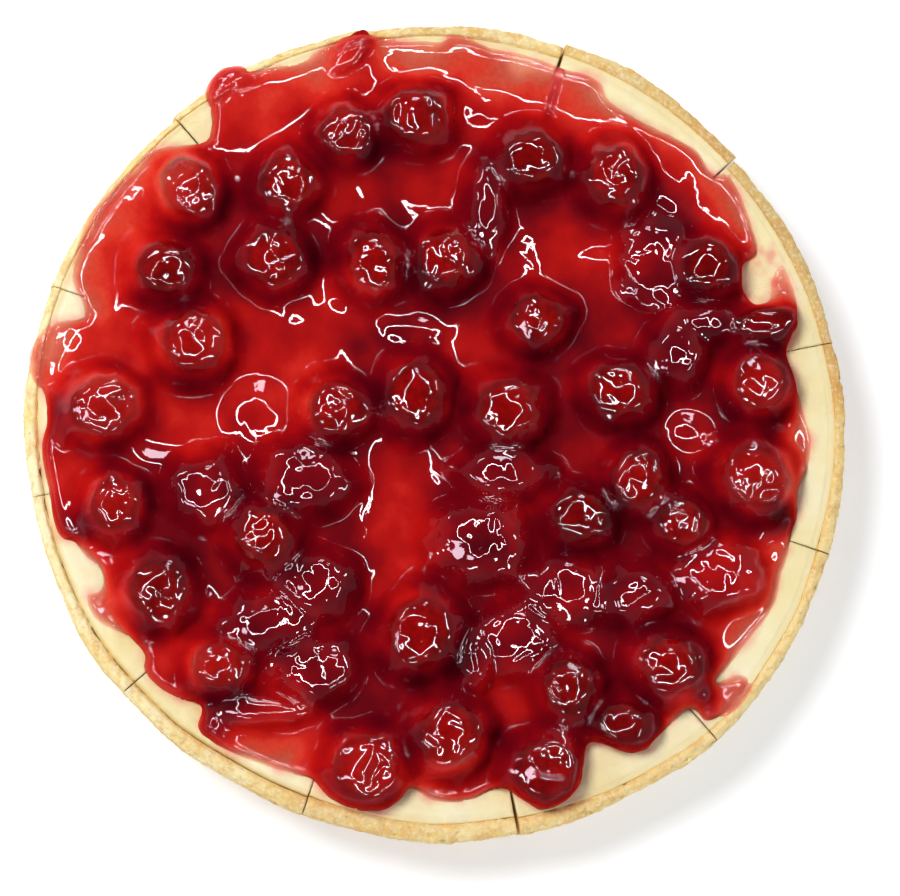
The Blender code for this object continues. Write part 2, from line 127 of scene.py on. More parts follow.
# The sauce's underside lies inside the cream.
SAUCE_FLOOR_Z = 35.6
# How much light the sauce takes away in a millimetre, red, green and blue.
DIM = (0.060, 0.50, 0.53)
# At so many millimetres of sauce, with the painted shade counted in, the sauce looks the darkest.
DEEPEST = 14.0

# Maps over the cake as seen from above, in square cells.
CELL = 0.5
MAP_REACH = 118.5
NET_REACH = 118.0

# Height of the cherries' underside above the cream.
CHERRY_FOOT = 1.2
# The first number from which the shape of each cherry is drawn.
CHERRY_SEED = 100


class Cherry(NamedTuple):
    """A cherry's middle, half length, half width and direction, and its top above the cream,
    then how deep the stone's pit shows and the direction in which that lies."""
    x: float
    y: float
    long: float
    wide: float
    turn: float
    top: float
    pit: float
    pit_turn: float

    def half_height(self):
        return (self.top - CHERRY_FOOT) / 2

    def middle_z(self):
        return FLAT_Z + CHERRY_FOOT + self.half_height()


# Cherries that stand out of the sauce.
CHERRIES = tuple(Cherry(*row) for row in (
    (-71.0, 66.5, 9.2, 8.6, 100, 13.5, 0.0, 0),
    (-78.0, 44.2, 9.5, 8.5, 0, 14.5, 1.2, 300),
    (-43.7, 68.5, 9.0, 8.6, 0, 13.5, 0.0, 0),
    (-47.3, 47.2, 9.3, 9.0, 90, 13.5, 0.9, 20),
    (-27.5, 83.0, 8.2, 8.0, 0, 13.0, 0.9, 330),
    (-7.6, 87.5, 9.9, 8.8, 0, 15.0, 1.4, 350),
    (25.3, 75.8, 9.8, 8.8, 0, 15.0, 0.8, 200),
    (-19.3, 46.6, 9.6, 8.5, 100, 14.0, 1.2, 250),
    (0.9, 47.2, 9.6, 9.0, 80, 14.5, 0.5, 90),
    (26.5, 30.2, 8.9, 7.8, 0, 14.5, 1.0, 60),
    (48.5, 70.8, 9.7, 9.0, 90, 15.5, 0.6, 90),
    (75.2, 45.7, 8.6, 8.4, 0, 14.5, 0.4, 0),
    (-69.8, 23.5, 10.3, 9.9, 0, 16.0, 0.7, 60),
    (-95.2, 5.3, 11.0, 9.3, 10, 13.5, 1.5, 20),
    (-91.6, -22.2, 8.6, 7.8, 90, 13.5, 0.6, 90),
    (-50.2, -31.0, 9.4, 9.1, 0, 16.0, 0.8, 130),
    (-79.8, -45.9, 9.6, 9.4, 0, 14.0, 1.7, 280),
    (-29.6, 4.8, 9.2, 9.0, 0, 14.5, 1.1, 70),
    (-7.1, 9.1, 10.2, 9.2, 90, 14.5, 0.8, 160),
    (18.6, 5.1, 10.6, 9.4, 0, 16.0, 1.2, 200),
    (38.9, -24.8, 9.1, 8.4, 0, 14.5, 0.6, 10),
    (49.6, 10.4, 10.1, 8.4, -15, 15.5, 1.5, 100),
    (91.0, 29.6, 9.8, 5.4, 4, 12.5, 0.0, 0),
    (89.6, 12.4, 8.8, 8.6, 0, 15.0, 1.0, 80),
    (54.7, -14.3, 9.4, 8.5, 70, 15.0, 1.0, 260),
    (87.9, -13.6, 11.2, 9.8, -20, 15.5, 1.2, 300),
    (67.6, -26.8, 7.9, 7.7, 0, 13.5, 0.9, 260),
    (-62.6, -67.2, 8.7, 7.6, 0, 14.5, 0.5, 100),
    (-6.2, -57.7, 11.2, 10.4, 80, 16.0, 1.6, 220),
    (-21.4, -95.4, 10.6, 10.2, 0, 14.5, 1.8, 330),
    (2.0, -86.3, 10.4, 10.2, 0, 16.0, 1.2, 240),
    (29.0, -96.2, 10.5, 9.6, 0, 14.5, 2.0, 60),
    (35.6, -72.8, 9.2, 8.6, 90, 14.0, 1.3, 200),
    (63.9, -66.9, 10.4, 9.4, -15, 16.0, 1.2, 230),
    (50.9, -82.9, 8.6, 6.8, 0, 13.0, 1.0, 190),
))
# Cherries under the sauce.
DROWNED = tuple(Cherry(*row) for row in (
    (-66.7, -17.7, 9.0, 9.0, 0, 11.5, 0.8, 200), (-39.1, -15.0, 11.5, 9.0, 0, 12.0, 0.6, 80),
    (17.0, -12.6, 11.5, 7.0, 0, 12.0, 0.9, 30), (11.0, -32.0, 12.0, 10.0, 0, 12.0, 0.0, 0),
    (-35.2, -43.6, 9.2, 8.6, 0, 12.0, 0.8, 40), (66.4, 21.1, 8.0, 8.7, 0, 12.5, 0.8, 250),
    (77.4, -41.0, 11.0, 8.8, 0, 10.0, 0.0, 0), (54.0, -47.0, 9.8, 7.5, 0, 12.0, 1.0, 110),
    (-49.3, -54.5, 12.0, 6.8, 10, 10.5, 0.0, 0), (-50.1, -79.4, 11.0, 4.2, 0, 8.5, 0.0, 0),
    (-35.8, -68.0, 10.5, 8.0, 0, 11.0, 1.2, 0), (35.2, -45.3, 10.0, 8.0, 0, 9.5, 0.0, 0),
    (21.0, -59.4, 9.0, 9.0, 0, 8.5, 0.0, 0), (9.2, -66.0, 4.5, 8.0, 0, 10.0, 0.0, 0),
    (12.5, 62.5, 5.4, 11.0, 0, 10.5, 0.0, 0), (60.5, 47.0, 9.0, 10.5, 0, 8.5, 0.0, 0),
    (74.6, 30.0, 8.0, 5.0, 0, 10.5, 0.0, 0),
    (-25.0, 107.2, 6.6, 3.0, 49, 5.4, 0.0, 0),
))
# Numbers of the cherries that are paler or darker than the rest.
PALE = (1, 13, 14, 15, 24, 26, 28, 30)
DARK = (2, 7, 12, 17, 21, 23, 33, 35)

# Creases in the fruit: ends, depth and half width.
CREASES = (
    (-91.5, 7.4, -84.2, 8.9, 1.9, 0.9), (-2.2, 95.4, -0.4, 83.0, 1.8, 1.0),
    (-4.4, 90.5, -1.6, 86.0, 0.9, 0.8), (88.0, 31.4, 99.0, 30.6, 0.7, 0.8),
)

# Soft swellings of the sauce with nothing red under them: x, y, half sizes, height.
SWELLS = (
    (-52.0, 4.5, 13.0, 12.0, 6.8), (-8.4, 27.5, 14.0, 6.5, 7.0), (-10.5, -20.0, 9.0, 15.0, 4.6),
    (70.4, -0.8, 10.0, 8.0, 7.5), (-59.7, 97.0, 7.0, 6.0, 5.0), (-26.7, 64.5, 9.0, 8.0, 5.2),
    (-46.0, -42.0, 8.0, 6.0, 4.2), (46.0, 46.0, 12.0, 7.0, 5.6), (-26.0, 30.0, 12.0, 9.0, 5.4),
    (-32.0, -74.0, 9.0, 8.0, 5.0), (-40.0, -84.0, 10.0, 8.0, 3.4), (14.5, 47.5, 3.2, 3.0, 6.5),
)

# Shallow places in the sauce: x, y, reach, thickness.
SHALLOWS = (
    (38, 47, 11, 3.7), (-26.7, 64.5, 8, 4.0), (-2.8, 68.7, 8, 3.8), (-45, -87.5, 11, 2.8),
    (-12, -12, 9, 3.5), (-10, -30, 10, 3.2), (36.6, 89.8, 12, 2.8), (-50, 9, 14, 3.0),
    (-93, 28, 11, 2.6), (11, 22, 8, 3.4), (5, -97, 10, 2.6), (-56, 90, 14, 2.6),
    (11, 96, 13, 3.0), (80, -40, 10, 3.2), (-104, -14, 9, 2.8), (-27, 98, 10, 3.0),
    (-88, 60, 12, 2.6), (70, 0, 7, 5.2), (-25, 36, 8, 3.6), (60, 84, 10, 3.8), (-98, 14, 8, 3.0),
    (-79, 3, 9, 2.9), (-84, 21, 8, 3.0), (-55, 27, 9, 3.0), (-38, 20, 9, 3.2), (-92, -38, 7, 2.8),
    (-76, -65, 8, 2.8), (-15, -46, 6, 3.0), (20, -75, 9, 3.2), (-71, -52, 6, 3.4), (-68, -2, 7, 3.4),
)

# Places where the sauce runs out into a thin film: x, y, reach, thickness.
FILMS = (
    (-96, 50, 13, 1.7), (-88, 66, 12, 1.5), (-99, 40, 9, 1.2), (-78, 76, 8, 1.2),
    (-46, 98, 12, 2.2), (-33, 103, 9, 1.5), (-11, 107, 9, 0.5), (2, 107, 8, 0.5),
    (14, 103, 9, 0.8), (26, 100, 10, 0.7), (37, 96, 9, 0.9), (46, 93, 8, 1.2),
    (57, 84, 8, 2.6), (68, 77, 8, 2.4), (78, 68, 8, 1.7), (84, 58, 7, 1.7),
    (97, 42, 6, 0.7), (104, 4, 6, 1.0), (103, -6, 7, 0.9), (101, -16, 6, 1.1),
    (96, -38, 7, 1.3), (92, -48, 8, 1.5), (84, -58, 8, 1.7), (84, -74, 8, 1.4),
    (-94, -52, 8, 1.3), (-99, -38, 5, 1.2), (-110, 18, 7, 1.3), (-108, 27, 6, 1.2),
    (0, -100, 9, 2.2), (-50, -90, 9, 2.2), (-43, -87, 9, 1.6), (68, -80, 5, 1.6),
)

# Pink smears on the bare cream: x, y, reach.
STAINS = ((92.0, 49.0, 5.0), (96.5, 41.0, 4.5))

# The seam where the knife parted the sauce: start and end.
SAUCE_CUT = ((35.2, 106.0), (29.0, 84.0))


# Noise and plain sums


def scramble(ix, iy, iz, seed):
    """A repeatable value from 0 to 1 for each whole-numbered point."""
    h = ix.astype(np.uint32) * np.uint32(374761393) + iy.astype(np.uint32) * np.uint32(668265263)
    h = h + iz.astype(np.uint32) * np.uint32(2246822519) + np.uint32(seed * 3266489917 % 4294967296)
    h = (h ^ (h >> np.uint32(13))) * np.uint32(1274126177)
    h = h ^ (h >> np.uint32(16))
    return (h & np.uint32(0xFFFFFF)).astype(np.float64) / 0xFFFFFF


def split(values):
    """Whole and broken part of places, all moved well above zero."""
    values = np.asarray(values, float) + 1000.0
    whole = np.floor(values).astype(np.int64)
    return whole, values - whole


def corner_share(part, step):
    """How much the lower or the upper corner counts between the two."""
    upper = part * part * part * (part * (part * 6 - 15) + 10)
    return upper if step else 1 - upper


def noise2(x, y, size, seed):
    """Smooth noise over the plane, about -1 to 1, in lumps of the given size."""
    ix, fx = split(x / size)
    iy, fy = split(y / size)
    none = np.zeros_like(ix)
    total = 0.0
    for dx, dy in product((0, 1), repeat=2):
        turn = scramble(ix + dx, iy + dy, none, seed) * math.tau
        slope = np.cos(turn) * (fx - dx) + np.sin(turn) * (fy - dy)
        total = total + slope * corner_share(fx, dx) * corner_share(fy, dy)
    return total * 1.5


def noise3(x, y, z, seed):
    """Smooth noise in space, about -1 to 1, in lumps of size 1."""
    ix, fx = split(x)
    iy, fy = split(y)
    iz, fz = split(z)
    total = 0.0
    for dx, dy, dz in product((0, 1), repeat=3):
        corner = (ix + dx, iy + dy, iz + dz)
        turn = scramble(*corner, seed) * math.tau
        rise = scramble(*corner, seed + 77) * 2 - 1
        flat = np.sqrt(1 - rise * rise)
        slope = flat * np.cos(turn) * (fx - dx) + flat * np.sin(turn) * (fy - dy) + rise * (fz - dz)
        total = total + slope * corner_share(fx, dx) * corner_share(fy, dy) * corner_share(fz, dz)
    return total * 1.5


def ease(t):
    """Soft step from 0 to 1."""
    t = np.clip(t, 0.0, 1.0)
    return t * t * (3.0 - 2.0 * t)


def smooth_max(a, b, k):
    """The larger of two, with a soft passage where they differ by less than k."""
    h = np.clip(0.5 + 0.5 * (a - b) / k, 0.0, 1.0)
    return b + (a - b) * h + k * h * (1.0 - h)


def around(table, turn):
    """Value in a given direction from a table that goes once round the cake."""
    spot = (np.degrees(turn) % 360.0) * len(table) / 360.0
    low = np.floor(spot).astype(int) % len(table)
    share = ease(spot - np.floor(spot))
    values = np.array(table)
    return values[low] * (1.0 - share) + values[(low + 1) % len(table)] * share


def closest_on(x, y, start, end):
    """The points of a straight stretch that lie closest to the given places."""
    dx = end[0] - start[0]
    dy = end[1] - start[1]
    share = ((x - start[0]) * dx + (y - start[1]) * dy) / max(1e-9, dx * dx + dy * dy)
    share = np.clip(share, 0.0, 1.0)
    return start[0] + share * dx, start[1] + share * dy


def line_distance(x, y, line):
    """Signed distance to a closed line, positive inside, and the closest point on it."""
    best = np.full(x.shape, np.inf)
    near_x = np.zeros_like(x)
    near_y = np.zeros_like(y)
    inside = np.zeros(x.shape, bool)
    for start, end in zip(line, np.roll(line, -1, axis=0)):
        px, py = closest_on(x, y, start, end)
        gap = (x - px) ** 2 + (y - py) ** 2
        closer = gap < best
        best = np.where(closer, gap, best)
        near_x = np.where(closer, px, near_x)
        near_y = np.where(closer, py, near_y)
        if start[1] != end[1]:
            crossing = start[0] + (y - start[1]) * (end[0] - start[0]) / (end[1] - start[1])
            inside ^= ((start[1] > y) != (end[1] > y)) & (x < crossing)
    away = np.sqrt(best)
    return np.where(inside, away, -away), near_x, near_y


def smooth_line(corners, parts):
    """A closed smooth line through the corners (Catmull-Rom)."""
    p = np.array(corners, float)
    before = np.roll(p, 1, axis=0)
    after = np.roll(p, -1, axis=0)
    beyond = np.roll(p, -2, axis=0)
    rows = []
    for step in range(parts):
        t = step / parts
        bend = (2 * before - 5 * p + 4 * after - beyond) * t * t
        twist = (3 * p - before - 3 * after + beyond) * t ** 3
        rows.append(0.5 * (2 * p + (after - before) * t + bend + twist))
    return np.stack(rows, axis=1).reshape(-1, 2)


def sauce_outline():
    """The sauce's outline, a little uneven between its corners."""
    line = smooth_line(SAUCE_EDGE, 5)
    wobble = 0.25 * noise2(line[:, 0], line[:, 1], 3.0, 71)
    ahead = np.roll(line, -1, axis=0) - np.roll(line, 1, axis=0)
    ahead = ahead / np.maximum(1e-6, np.hypot(ahead[:, 0], ahead[:, 1]))[:, None]
    return line + wobble[:, None] * np.stack([ahead[:, 1], -ahead[:, 0]], axis=-1)


# The cake's uneven form


def seam_shift(turn):
    """How far the seam of cream and crust lies outside its true circle."""
    return around(BULGES, turn) + WALL_T - around(WALLS, turn)


def rim_shift(turn):
    """How far the rim lies outside its true circle."""
    ripple = 0.2 * np.sin(8 * turn + 2.0) + 0.2 * np.sin(19 * turn)
    return around(BULGES, turn) + around(CRUMBLE, turn) + ripple


def top_wave(turn):
    """How far the top of the rim lies above its true level."""
    waves = ((0.25, 2, 0.6), (0.18, 7, 1.0), (0.16, 16, 2.4))
    return sum(height * np.sin(count * turn + start) for height, count, start in waves)


def uneven(x, y, z):
    """Points of the true round cake to their places in the baked one, in millimetres."""
    radius = np.maximum(np.hypot(x, y), 0.001)
    turn = np.arctan2(y, x)
    seam_r = RIM_R - WALL_T
    share = np.clip((radius - seam_r) / WALL_T, 0.0, 1.0)
    inner = seam_shift(turn) * np.minimum(1.0, radius / seam_r) ** 6
    outer = seam_shift(turn) * (1.0 - share) + rim_shift(turn) * share
    stretch = (radius + np.where(radius <= seam_r, inner, outer)) / radius
    lift = top_wave(turn) * ease((z - 20.0) / 16.0) * ease((radius - 70.0) / 30.0)
    return x * stretch, y * stretch, z + lift


def cover_top(x, y):
    """Height of the cream, and of the crust past it."""
    turn = np.arctan2(y, x)
    radius = np.hypot(x, y)
    outer = RIM_R - WALL_T - GAP
    inward = radius - seam_shift(turn) * np.minimum(1.0, radius / outer) ** 6
    radii, heights = zip(
        (0.0, FLAT_Z), (outer - 13.0, FLAT_Z), (outer - 8.5, FLAT_Z + 0.5), (outer - 4.5, LIP_Z),
        (outer - 1.6, LIP_Z - 0.1), (outer - 0.3, FLAT_Z + 0.2), (outer + 0.8, CAKE_H),
        (RIM_R - 1.6, CAKE_H - 0.1), (RIM_R - 0.3, CAKE_H - 1.5), (RIM_R + 40.0, CAKE_H - 2.5))
    return np.interp(inward, radii, heights) + top_wave(turn) * ease((radius - 70.0) / 30.0)


# Objects and meshes


def add_object(name, data):
    thing = bpy.data.objects.new(name, data)
    bpy.context.scene.collection.objects.link(thing)
    return thing


def flat_mesh(name, verts, faces):
    mesh = bpy.data.meshes.new(name)
    mesh.from_pydata([tuple(v) for v in verts], [], faces)
    mesh.validate()
    return add_object(name, mesh)


def quad_mesh(name, verts, quads, tris=()):
    """Smooth mesh from arrays."""
    mesh = bpy.data.meshes.new(name)
    quads = np.asarray(quads, dtype=np.int32).reshape(-1, 4)
    tris = np.asarray(tris, dtype=np.int32).reshape(-1, 3)
    mesh.vertices.add(len(verts))
    mesh.vertices.foreach_set("co", np.asarray(verts, dtype=np.float32).ravel())
    loops = np.concatenate([quads.ravel(), tris.ravel()])
    mesh.loops.add(len(loops))
    mesh.loops.foreach_set("vertex_index", loops)
    starts = np.concatenate([np.arange(len(quads)) * 4, len(quads) * 4 + np.arange(len(tris)) * 3])
    mesh.polygons.add(len(starts))
    mesh.polygons.foreach_set("loop_start", starts.astype(np.int32))
    mesh.update(calc_edges=True)
    mesh.validate()
    mesh.shade_smooth()
    return add_object(name, mesh)


def value_layer(thing, name, values):
    layer = thing.data.attributes.new(name, "FLOAT", "POINT")
    layer.data.foreach_set("value", np.asarray(values, dtype=np.float32))


# Materials


class Net:
    """Short way to add and link shader nodes."""

    def __init__(self, tree):
        tree.nodes.clear()
        self.tree = tree

    def add(self, kind, values=None, **settings):
        node = self.tree.nodes.new(kind)
        for key, value in settings.items():
            setattr(node, key, value)
        for key, value in (values or {}).items():
            if isinstance(value, bpy.types.NodeSocket):
                self.tree.links.new(value, node.inputs[key])
            else:
                node.inputs[key].default_value = value
        return node

    def math(self, how, a, b=0.0):
        return self.add("ShaderNodeMath", {0: a, 1: b}, operation=how).outputs[0]

    def times(self, a, b):
        return self.math("MULTIPLY", a, b)

    def plus(self, a, b):
        return self.math("ADD", a, b)

    def minus(self, a, b):
        return self.math("SUBTRACT", a, b)

    def mix(self, share, colour, other):
        """Puts a share of another colour into a colour."""
        values = {0: share, 6: colour, 7: (*other, 1.0)}
        return self.add("ShaderNodeMix", values, data_type="RGBA").outputs[2]

    def ramp(self, value, stops):
        node = self.add("ShaderNodeValToRGB", {0: value})
        band = node.color_ramp
        while len(band.elements) > 1:
            band.elements.remove(band.elements[-1])
        band.elements[0].position = stops[0][0]
        band.elements[0].color = (*stops[0][1], 1.0)
        for spot, colour in stops[1:]:
            band.elements.new(spot).color = (*colour, 1.0)
        return node.outputs[0]

    def place(self, kind="Object"):
        return self.add("ShaderNodeTexCoord").outputs[kind]

    def layer(self, name, kind="Fac"):
        """What the mesh carries under this name."""
        return self.add("ShaderNodeAttribute", attribute_name=name).outputs[kind]

    def noise(self, where, scale, detail, rough):
        values = {"Vector": where, "Scale": scale, "Detail": detail, "Roughness": rough}
        return self.add("ShaderNodeTexNoise", values).outputs[0]

    def specks(self, where, scale, low, high):
        """Small round specks, 1 in their middle and 0 between them."""
        cells = self.add("ShaderNodeTexVoronoi", {"Vector": where, "Scale": scale})
        return self.grey(cells.outputs["Distance"], low, high)

    def grey(self, value, low, high):
        """Value stretched from low..high to 0..1."""
        values = {0: value, "From Min": low, "From Max": high}
        return self.add("ShaderNodeMapRange", values, clamp=True).outputs[0]

    def bump(self, height, strength, distance):
        values = {"Strength": strength, "Distance": distance, "Height": height}
        return self.add("ShaderNodeBump", values).outputs[0]

    def surface(self, shader):
        self.add("ShaderNodeOutputMaterial", {0: shader.outputs[0]})

    def opaque_surface(self, colour, rough, gloss, bump):
        values = {"Base Color": colour, "Roughness": rough, "Specular IOR Level": gloss, "Normal": bump}
        self.surface(self.add("ShaderNodeBsdfPrincipled", values))


def material(name):
    mat = bpy.data.materials.new(name)
    mat.use_nodes = True
    return mat, Net(mat.node_tree)


def rgb(r, g, b):
    """Display colour 0..255 to linear."""
    out = []
    for c in (r, g, b):
        c = c / 255
        out.append(c / 12.92 if c <= 0.04045 else ((c + 0.055) / 1.055) ** 2.4)
    return tuple(out)


def crust_material():
    mat, n = material("crust_baked")
    spot = n.place()
    height_up = n.add("ShaderNodeSeparateXYZ", {0: spot}).outputs[2]
    painted_shade_and_light = n.layer("painted_shade_and_light")
    broad = n.noise(spot, 45.0, 3.0, 0.55)
    middle = n.noise(spot, 190.0, 4.0, 0.6)
    fine = n.noise(spot, 900.0, 5.0, 0.7)
    tone = n.plus(n.times(broad, 0.55), n.times(middle, 0.45))
    tone = n.plus(tone, n.layer("bake"))
    # The wall is browner than the rim.
    tone = n.plus(tone, n.times(n.grey(height_up, 0.037, 0.030), 0.12))
    colour = n.ramp(tone, (
        (0.30, rgb(253, 241, 186)), (0.42, rgb(251, 228, 156)), (0.52, rgb(245, 209, 121)),
        (0.62, rgb(235, 183, 87)), (0.74, rgb(215, 153, 59)), (0.9, rgb(184, 119, 38)),
    ))
    # Painted shade and light by direction: greyer and darker where the table is above zero, paler where it is
    # below.
    colour = n.mix(n.times(n.grey(painted_shade_and_light, 0.0, 1.0), 0.5), colour, rgb(178, 148, 92))
    colour = n.mix(n.times(n.grey(painted_shade_and_light, 0.0, -1.0), 0.7), colour, rgb(255, 226, 148))
    patches = n.grey(n.noise(spot, 300.0, 3.0, 0.6), 0.48, 0.64)
    colour = n.mix(n.times(patches, 0.5), colour, rgb(226, 166, 76))
    # Pores, sunk by the bump and painted darker brown: painted shade in the pits.
    pores = n.times(n.specks(spot, 620.0, 0.24, 0.05), n.grey(n.noise(spot, 260.0, 2.0, 0.5), 0.54, 0.68))
    colour = n.mix(n.times(pores, 0.6), colour, rgb(176, 118, 44))
    colour = n.mix(n.times(n.grey(fine, 0.5, 0.64), 0.5), colour, rgb(255, 246, 212))
    height = n.plus(n.times(fine, 0.45), n.times(middle, 0.8))
    height = n.minus(height, n.times(pores, 0.9))
    n.opaque_surface(colour, n.plus(n.times(middle, 0.3), 0.58), 0.3, n.bump(height, 0.55, 0.0009))
    return mat


def cream_material():
    mat, n = material("cream_baked")
    spot = n.place()
    broad = n.noise(spot, 38.0, 3.0, 0.5)
    middle = n.noise(spot, 240.0, 4.0, 0.6)
    fine = n.noise(spot, 1300.0, 4.0, 0.6)
    lumps = n.noise(spot, 95.0, 2.0, 0.5)
    colour = n.ramp(broad, (
        (0.32, rgb(251, 244, 200)), (0.5, rgb(247, 236, 178)), (0.68, rgb(239, 223, 154))))
    colour = n.mix(n.times(n.layer("lip"), 0.5), colour, rgb(236, 214, 150))
    colour = n.mix(n.times(n.grey(middle, 0.55, 0.75), 0.25), colour, rgb(255, 250, 226))
    blotch = n.plus(n.layer("stain"), n.times(n.minus(middle, 0.5), 0.5))
    colour = n.mix(n.times(n.grey(blotch, 0.25, 0.95), 0.75), colour, rgb(240, 140, 120))
    height = n.plus(n.times(middle, 0.7), n.times(fine, 0.3))
    height = n.plus(height, n.times(lumps, 2.8))
    n.opaque_surface(colour, 0.5, 0.3, n.bump(height, 0.6, 0.0008))
    return mat


def cherry_material():
    mat, n = material("cherry_skin")
    spot = n.place()
    broad = n.noise(spot, 120.0, 2.0, 0.55)
    streak = n.noise(spot, 420.0, 3.0, 0.65)
    dark = n.layer("dark")
    colour = n.ramp(n.plus(n.times(broad, 0.6), n.times(streak, 0.4)), (
        (0.30, rgb(112, 4, 12)), (0.45, rgb(152, 12, 16)), (0.56, rgb(176, 24, 22)), (0.72, rgb(206, 56, 44)),
    ))
    colour = n.mix(n.grey(dark, 0.0, 1.0), colour, rgb(70, 0, 12))
    colour = n.mix(n.grey(dark, 0.0, -1.0), colour, rgb(226, 84, 70))
    colour = n.mix(n.times(n.specks(spot, 900.0, 0.16, 0.04), 0.25), colour, rgb(226, 130, 112))
    n.opaque_surface(colour, 0.6, 0.0, n.bump(streak, 0.5, 0.0006))
    return mat


def sauce_material():
    mat, n = material("sauce_clear")
    spot = n.place()
    clear = n.layer("clear")
    bands = [n.math("EXPONENT", n.times(clear, -dim)) for dim in DIM]
    tint = n.add("ShaderNodeCombineColor", dict(enumerate(bands))).outputs[0]
    see_through = n.add("ShaderNodeBsdfTransparent", {"Color": tint})
    grain = n.noise(spot, 700.0, 2.0, 0.6)
    deep = n.plus(n.layer("depth_and_shade"), n.times(n.minus(grain, 0.5), 0.8))
    # Colour by the depth of sauce, darkened further by the painted shade in the same field.
    colour = n.ramp(n.math("DIVIDE", deep, DEEPEST), (
        (0.0, rgb(248, 226, 180)), (0.04, rgb(248, 188, 156)), (0.09, rgb(240, 124, 100)),
        (0.16, rgb(228, 74, 52)), (0.23, rgb(210, 40, 30)), (0.32, rgb(186, 20, 18)),
        (0.44, rgb(152, 10, 16)), (0.58, rgb(118, 5, 17)), (0.78, rgb(82, 2, 14)), (1.0, rgb(56, 1, 10)),
    ))
    soft = n.add("ShaderNodeVectorTransform", {0: n.layer("soft", "Vector")}, vector_type="NORMAL",
                 convert_from="OBJECT", convert_to="WORLD").outputs[0]
    body = n.add("ShaderNodeBsdfDiffuse", {"Color": colour, "Normal": soft})
    inner = n.add("ShaderNodeMixShader", {0: n.layer("cover"), 1: see_through.outputs[0], 2: body.outputs[0]})
    bump = n.bump(n.noise(spot, 420.0, 2.0, 0.5), 0.08, 0.0004)
    white = (1.0, 0.97, 0.99, 1.0)
    gloss = n.add("ShaderNodeBsdfGlossy", {"Color": white, "Roughness": 0.03, "Normal": bump})
    mirror = n.add("ShaderNodeFresnel", {"IOR": 1.40, "Normal": bump}).outputs[0]
    mirror = n.times(n.math("MINIMUM", mirror, 0.06), n.layer("shine"))
    skin = n.add("ShaderNodeMixShader", {0: mirror, 1: inner.outputs[0], 2: gloss.outputs[0]})
    # Light on its way to what lies under the sauce meets no gloss.
    shadow = n.add("ShaderNodeLightPath").outputs["Is Shadow Ray"]
    n.surface(n.add("ShaderNodeMixShader", {0: shadow, 1: skin.outputs[0], 2: inner.outputs[0]}))
    return mat


# Crust and cream


def slice_middle(index):
    """Direction of the middle of a slice."""
    return math.radians(CUT_ANGLE + SLICE_STEP * (index + 0.5))


def half_gap(index, heights):
    """Half the width of a knife cut. Only the widest one gapes all the way down."""
    half = KERFS[index % SLICES] / 2
    near_top = ease((heights - 34.6) / 3.2)
    return half if index % SLICES == WIDEST else half * near_top


def slice_places(index, shares, radii, heights):
    """Points where rays between a slice's two cut faces meet circles round the middle."""
    half = math.radians(SLICE_STEP / 2)
    middle = slice_middle(index)
    turn = middle + (shares - 0.5) * 2 * half
    ex = np.cos(turn)
    ey = np.sin(turn)
    dot = CUT_X * ex + CUT_Y * ey
    reach = -dot + np.sqrt(np.maximum(0.0, dot * dot - CUT_X ** 2 - CUT_Y ** 2 + radii * radii))
    inside = radii < TIP_R
    reach = np.where(inside, 0.0, reach)
    # The cuts gape at the rim and are closed under the sauce.
    open_at = ease((radii - 95.0) / 10.0)
    first = np.where(inside, 0.0, half_gap(index, heights) * open_at - OVERLAP)
    last = np.where(inside, 0.0, half_gap(index + 1, heights) * open_at - OVERLAP)
    low = middle - half
    high = middle + half
    x = CUT_X + reach * ex - (1 - shares) * first * math.sin(low) + shares * last * math.sin(high)
    y = CUT_Y + reach * ey + (1 - shares) * first * math.cos(low) - shares * last * math.cos(high)
    return x, y


def dense(profile, longest):
    """Profile points with extra ones where a stretch is long, given its own spacing."""
    out = [profile[0][:2]]
    for (r0, z0, _), (r1, z1, spacing) in zip(profile, profile[1:]):
        steps = max(1, int(math.ceil(math.hypot(r1 - r0, z1 - z0) / (spacing * longest))))
        for k in range(1, steps + 1):
            out.append((r0 + (r1 - r0) * k / steps, z0 + (z1 - z0) * k / steps))
    return np.array(out)


def slice_grid(index, profile, across):
    radii, shares = np.meshgrid(profile[:, 0], np.linspace(0.0, 1.0, across))
    heights = np.broadcast_to(profile[:, 1], radii.shape)
    x, y = slice_places(index, shares, radii, heights)
    return uneven(x, y, heights)


def grid_faces(rows, columns):
    a = np.arange(rows - 1)[:, None] * columns + np.arange(columns - 1)[None, :]
    return np.stack([a, a + columns, a + columns + 1, a + 1], axis=-1).reshape(-1, 4)


def add_caps(thing, rows, columns):
    """Closes the two cut faces of a slice and welds its tip."""
    bm = bmesh.new()
    bm.from_mesh(thing.data)
    bm.verts.ensure_lookup_table()
    for row, back in ((0, False), (rows - 1, True)):
        ring = [bm.verts[row * columns + k] for k in range(columns)]
        if back:
            ring.reverse()
        cap = bm.faces.new(ring)
        cap.smooth = False
        bmesh.ops.triangulate(bm, faces=[cap])
    bmesh.ops.remove_doubles(bm, verts=bm.verts, dist=0.000002)
    bmesh.ops.recalc_face_normals(bm, faces=bm.faces)
    bm.to_mesh(thing.data)
    bm.free()


def slice_body(name, index, x, y, z, mat):
    """The mesh of a slice, slid outward, and the places of its points."""
    slide = SLIDES[index] * ease((np.hypot(x, y) - SLIDE_FROM) / (SLIDE_WHOLE - SLIDE_FROM))
    x = x + slide * math.cos(slice_middle(index))
    y = y + slide * math.sin(slice_middle(index))
    verts = np.stack([x, y, z], axis=-1).reshape(-1, 3) * MM
    rows, columns = x.shape
    thing = quad_mesh(f"{name}_slice_{index + 1:02d}", verts, grid_faces(rows, columns))
    add_caps(thing, rows, columns)
    thing.data.materials.append(mat)
    places = np.empty(len(thing.data.vertices) * 3, dtype=np.float32)
    thing.data.vertices.foreach_get("co", places)
    places = places.reshape(-1, 3).astype(float) / MM
    return thing, places[:, 0], places[:, 1]


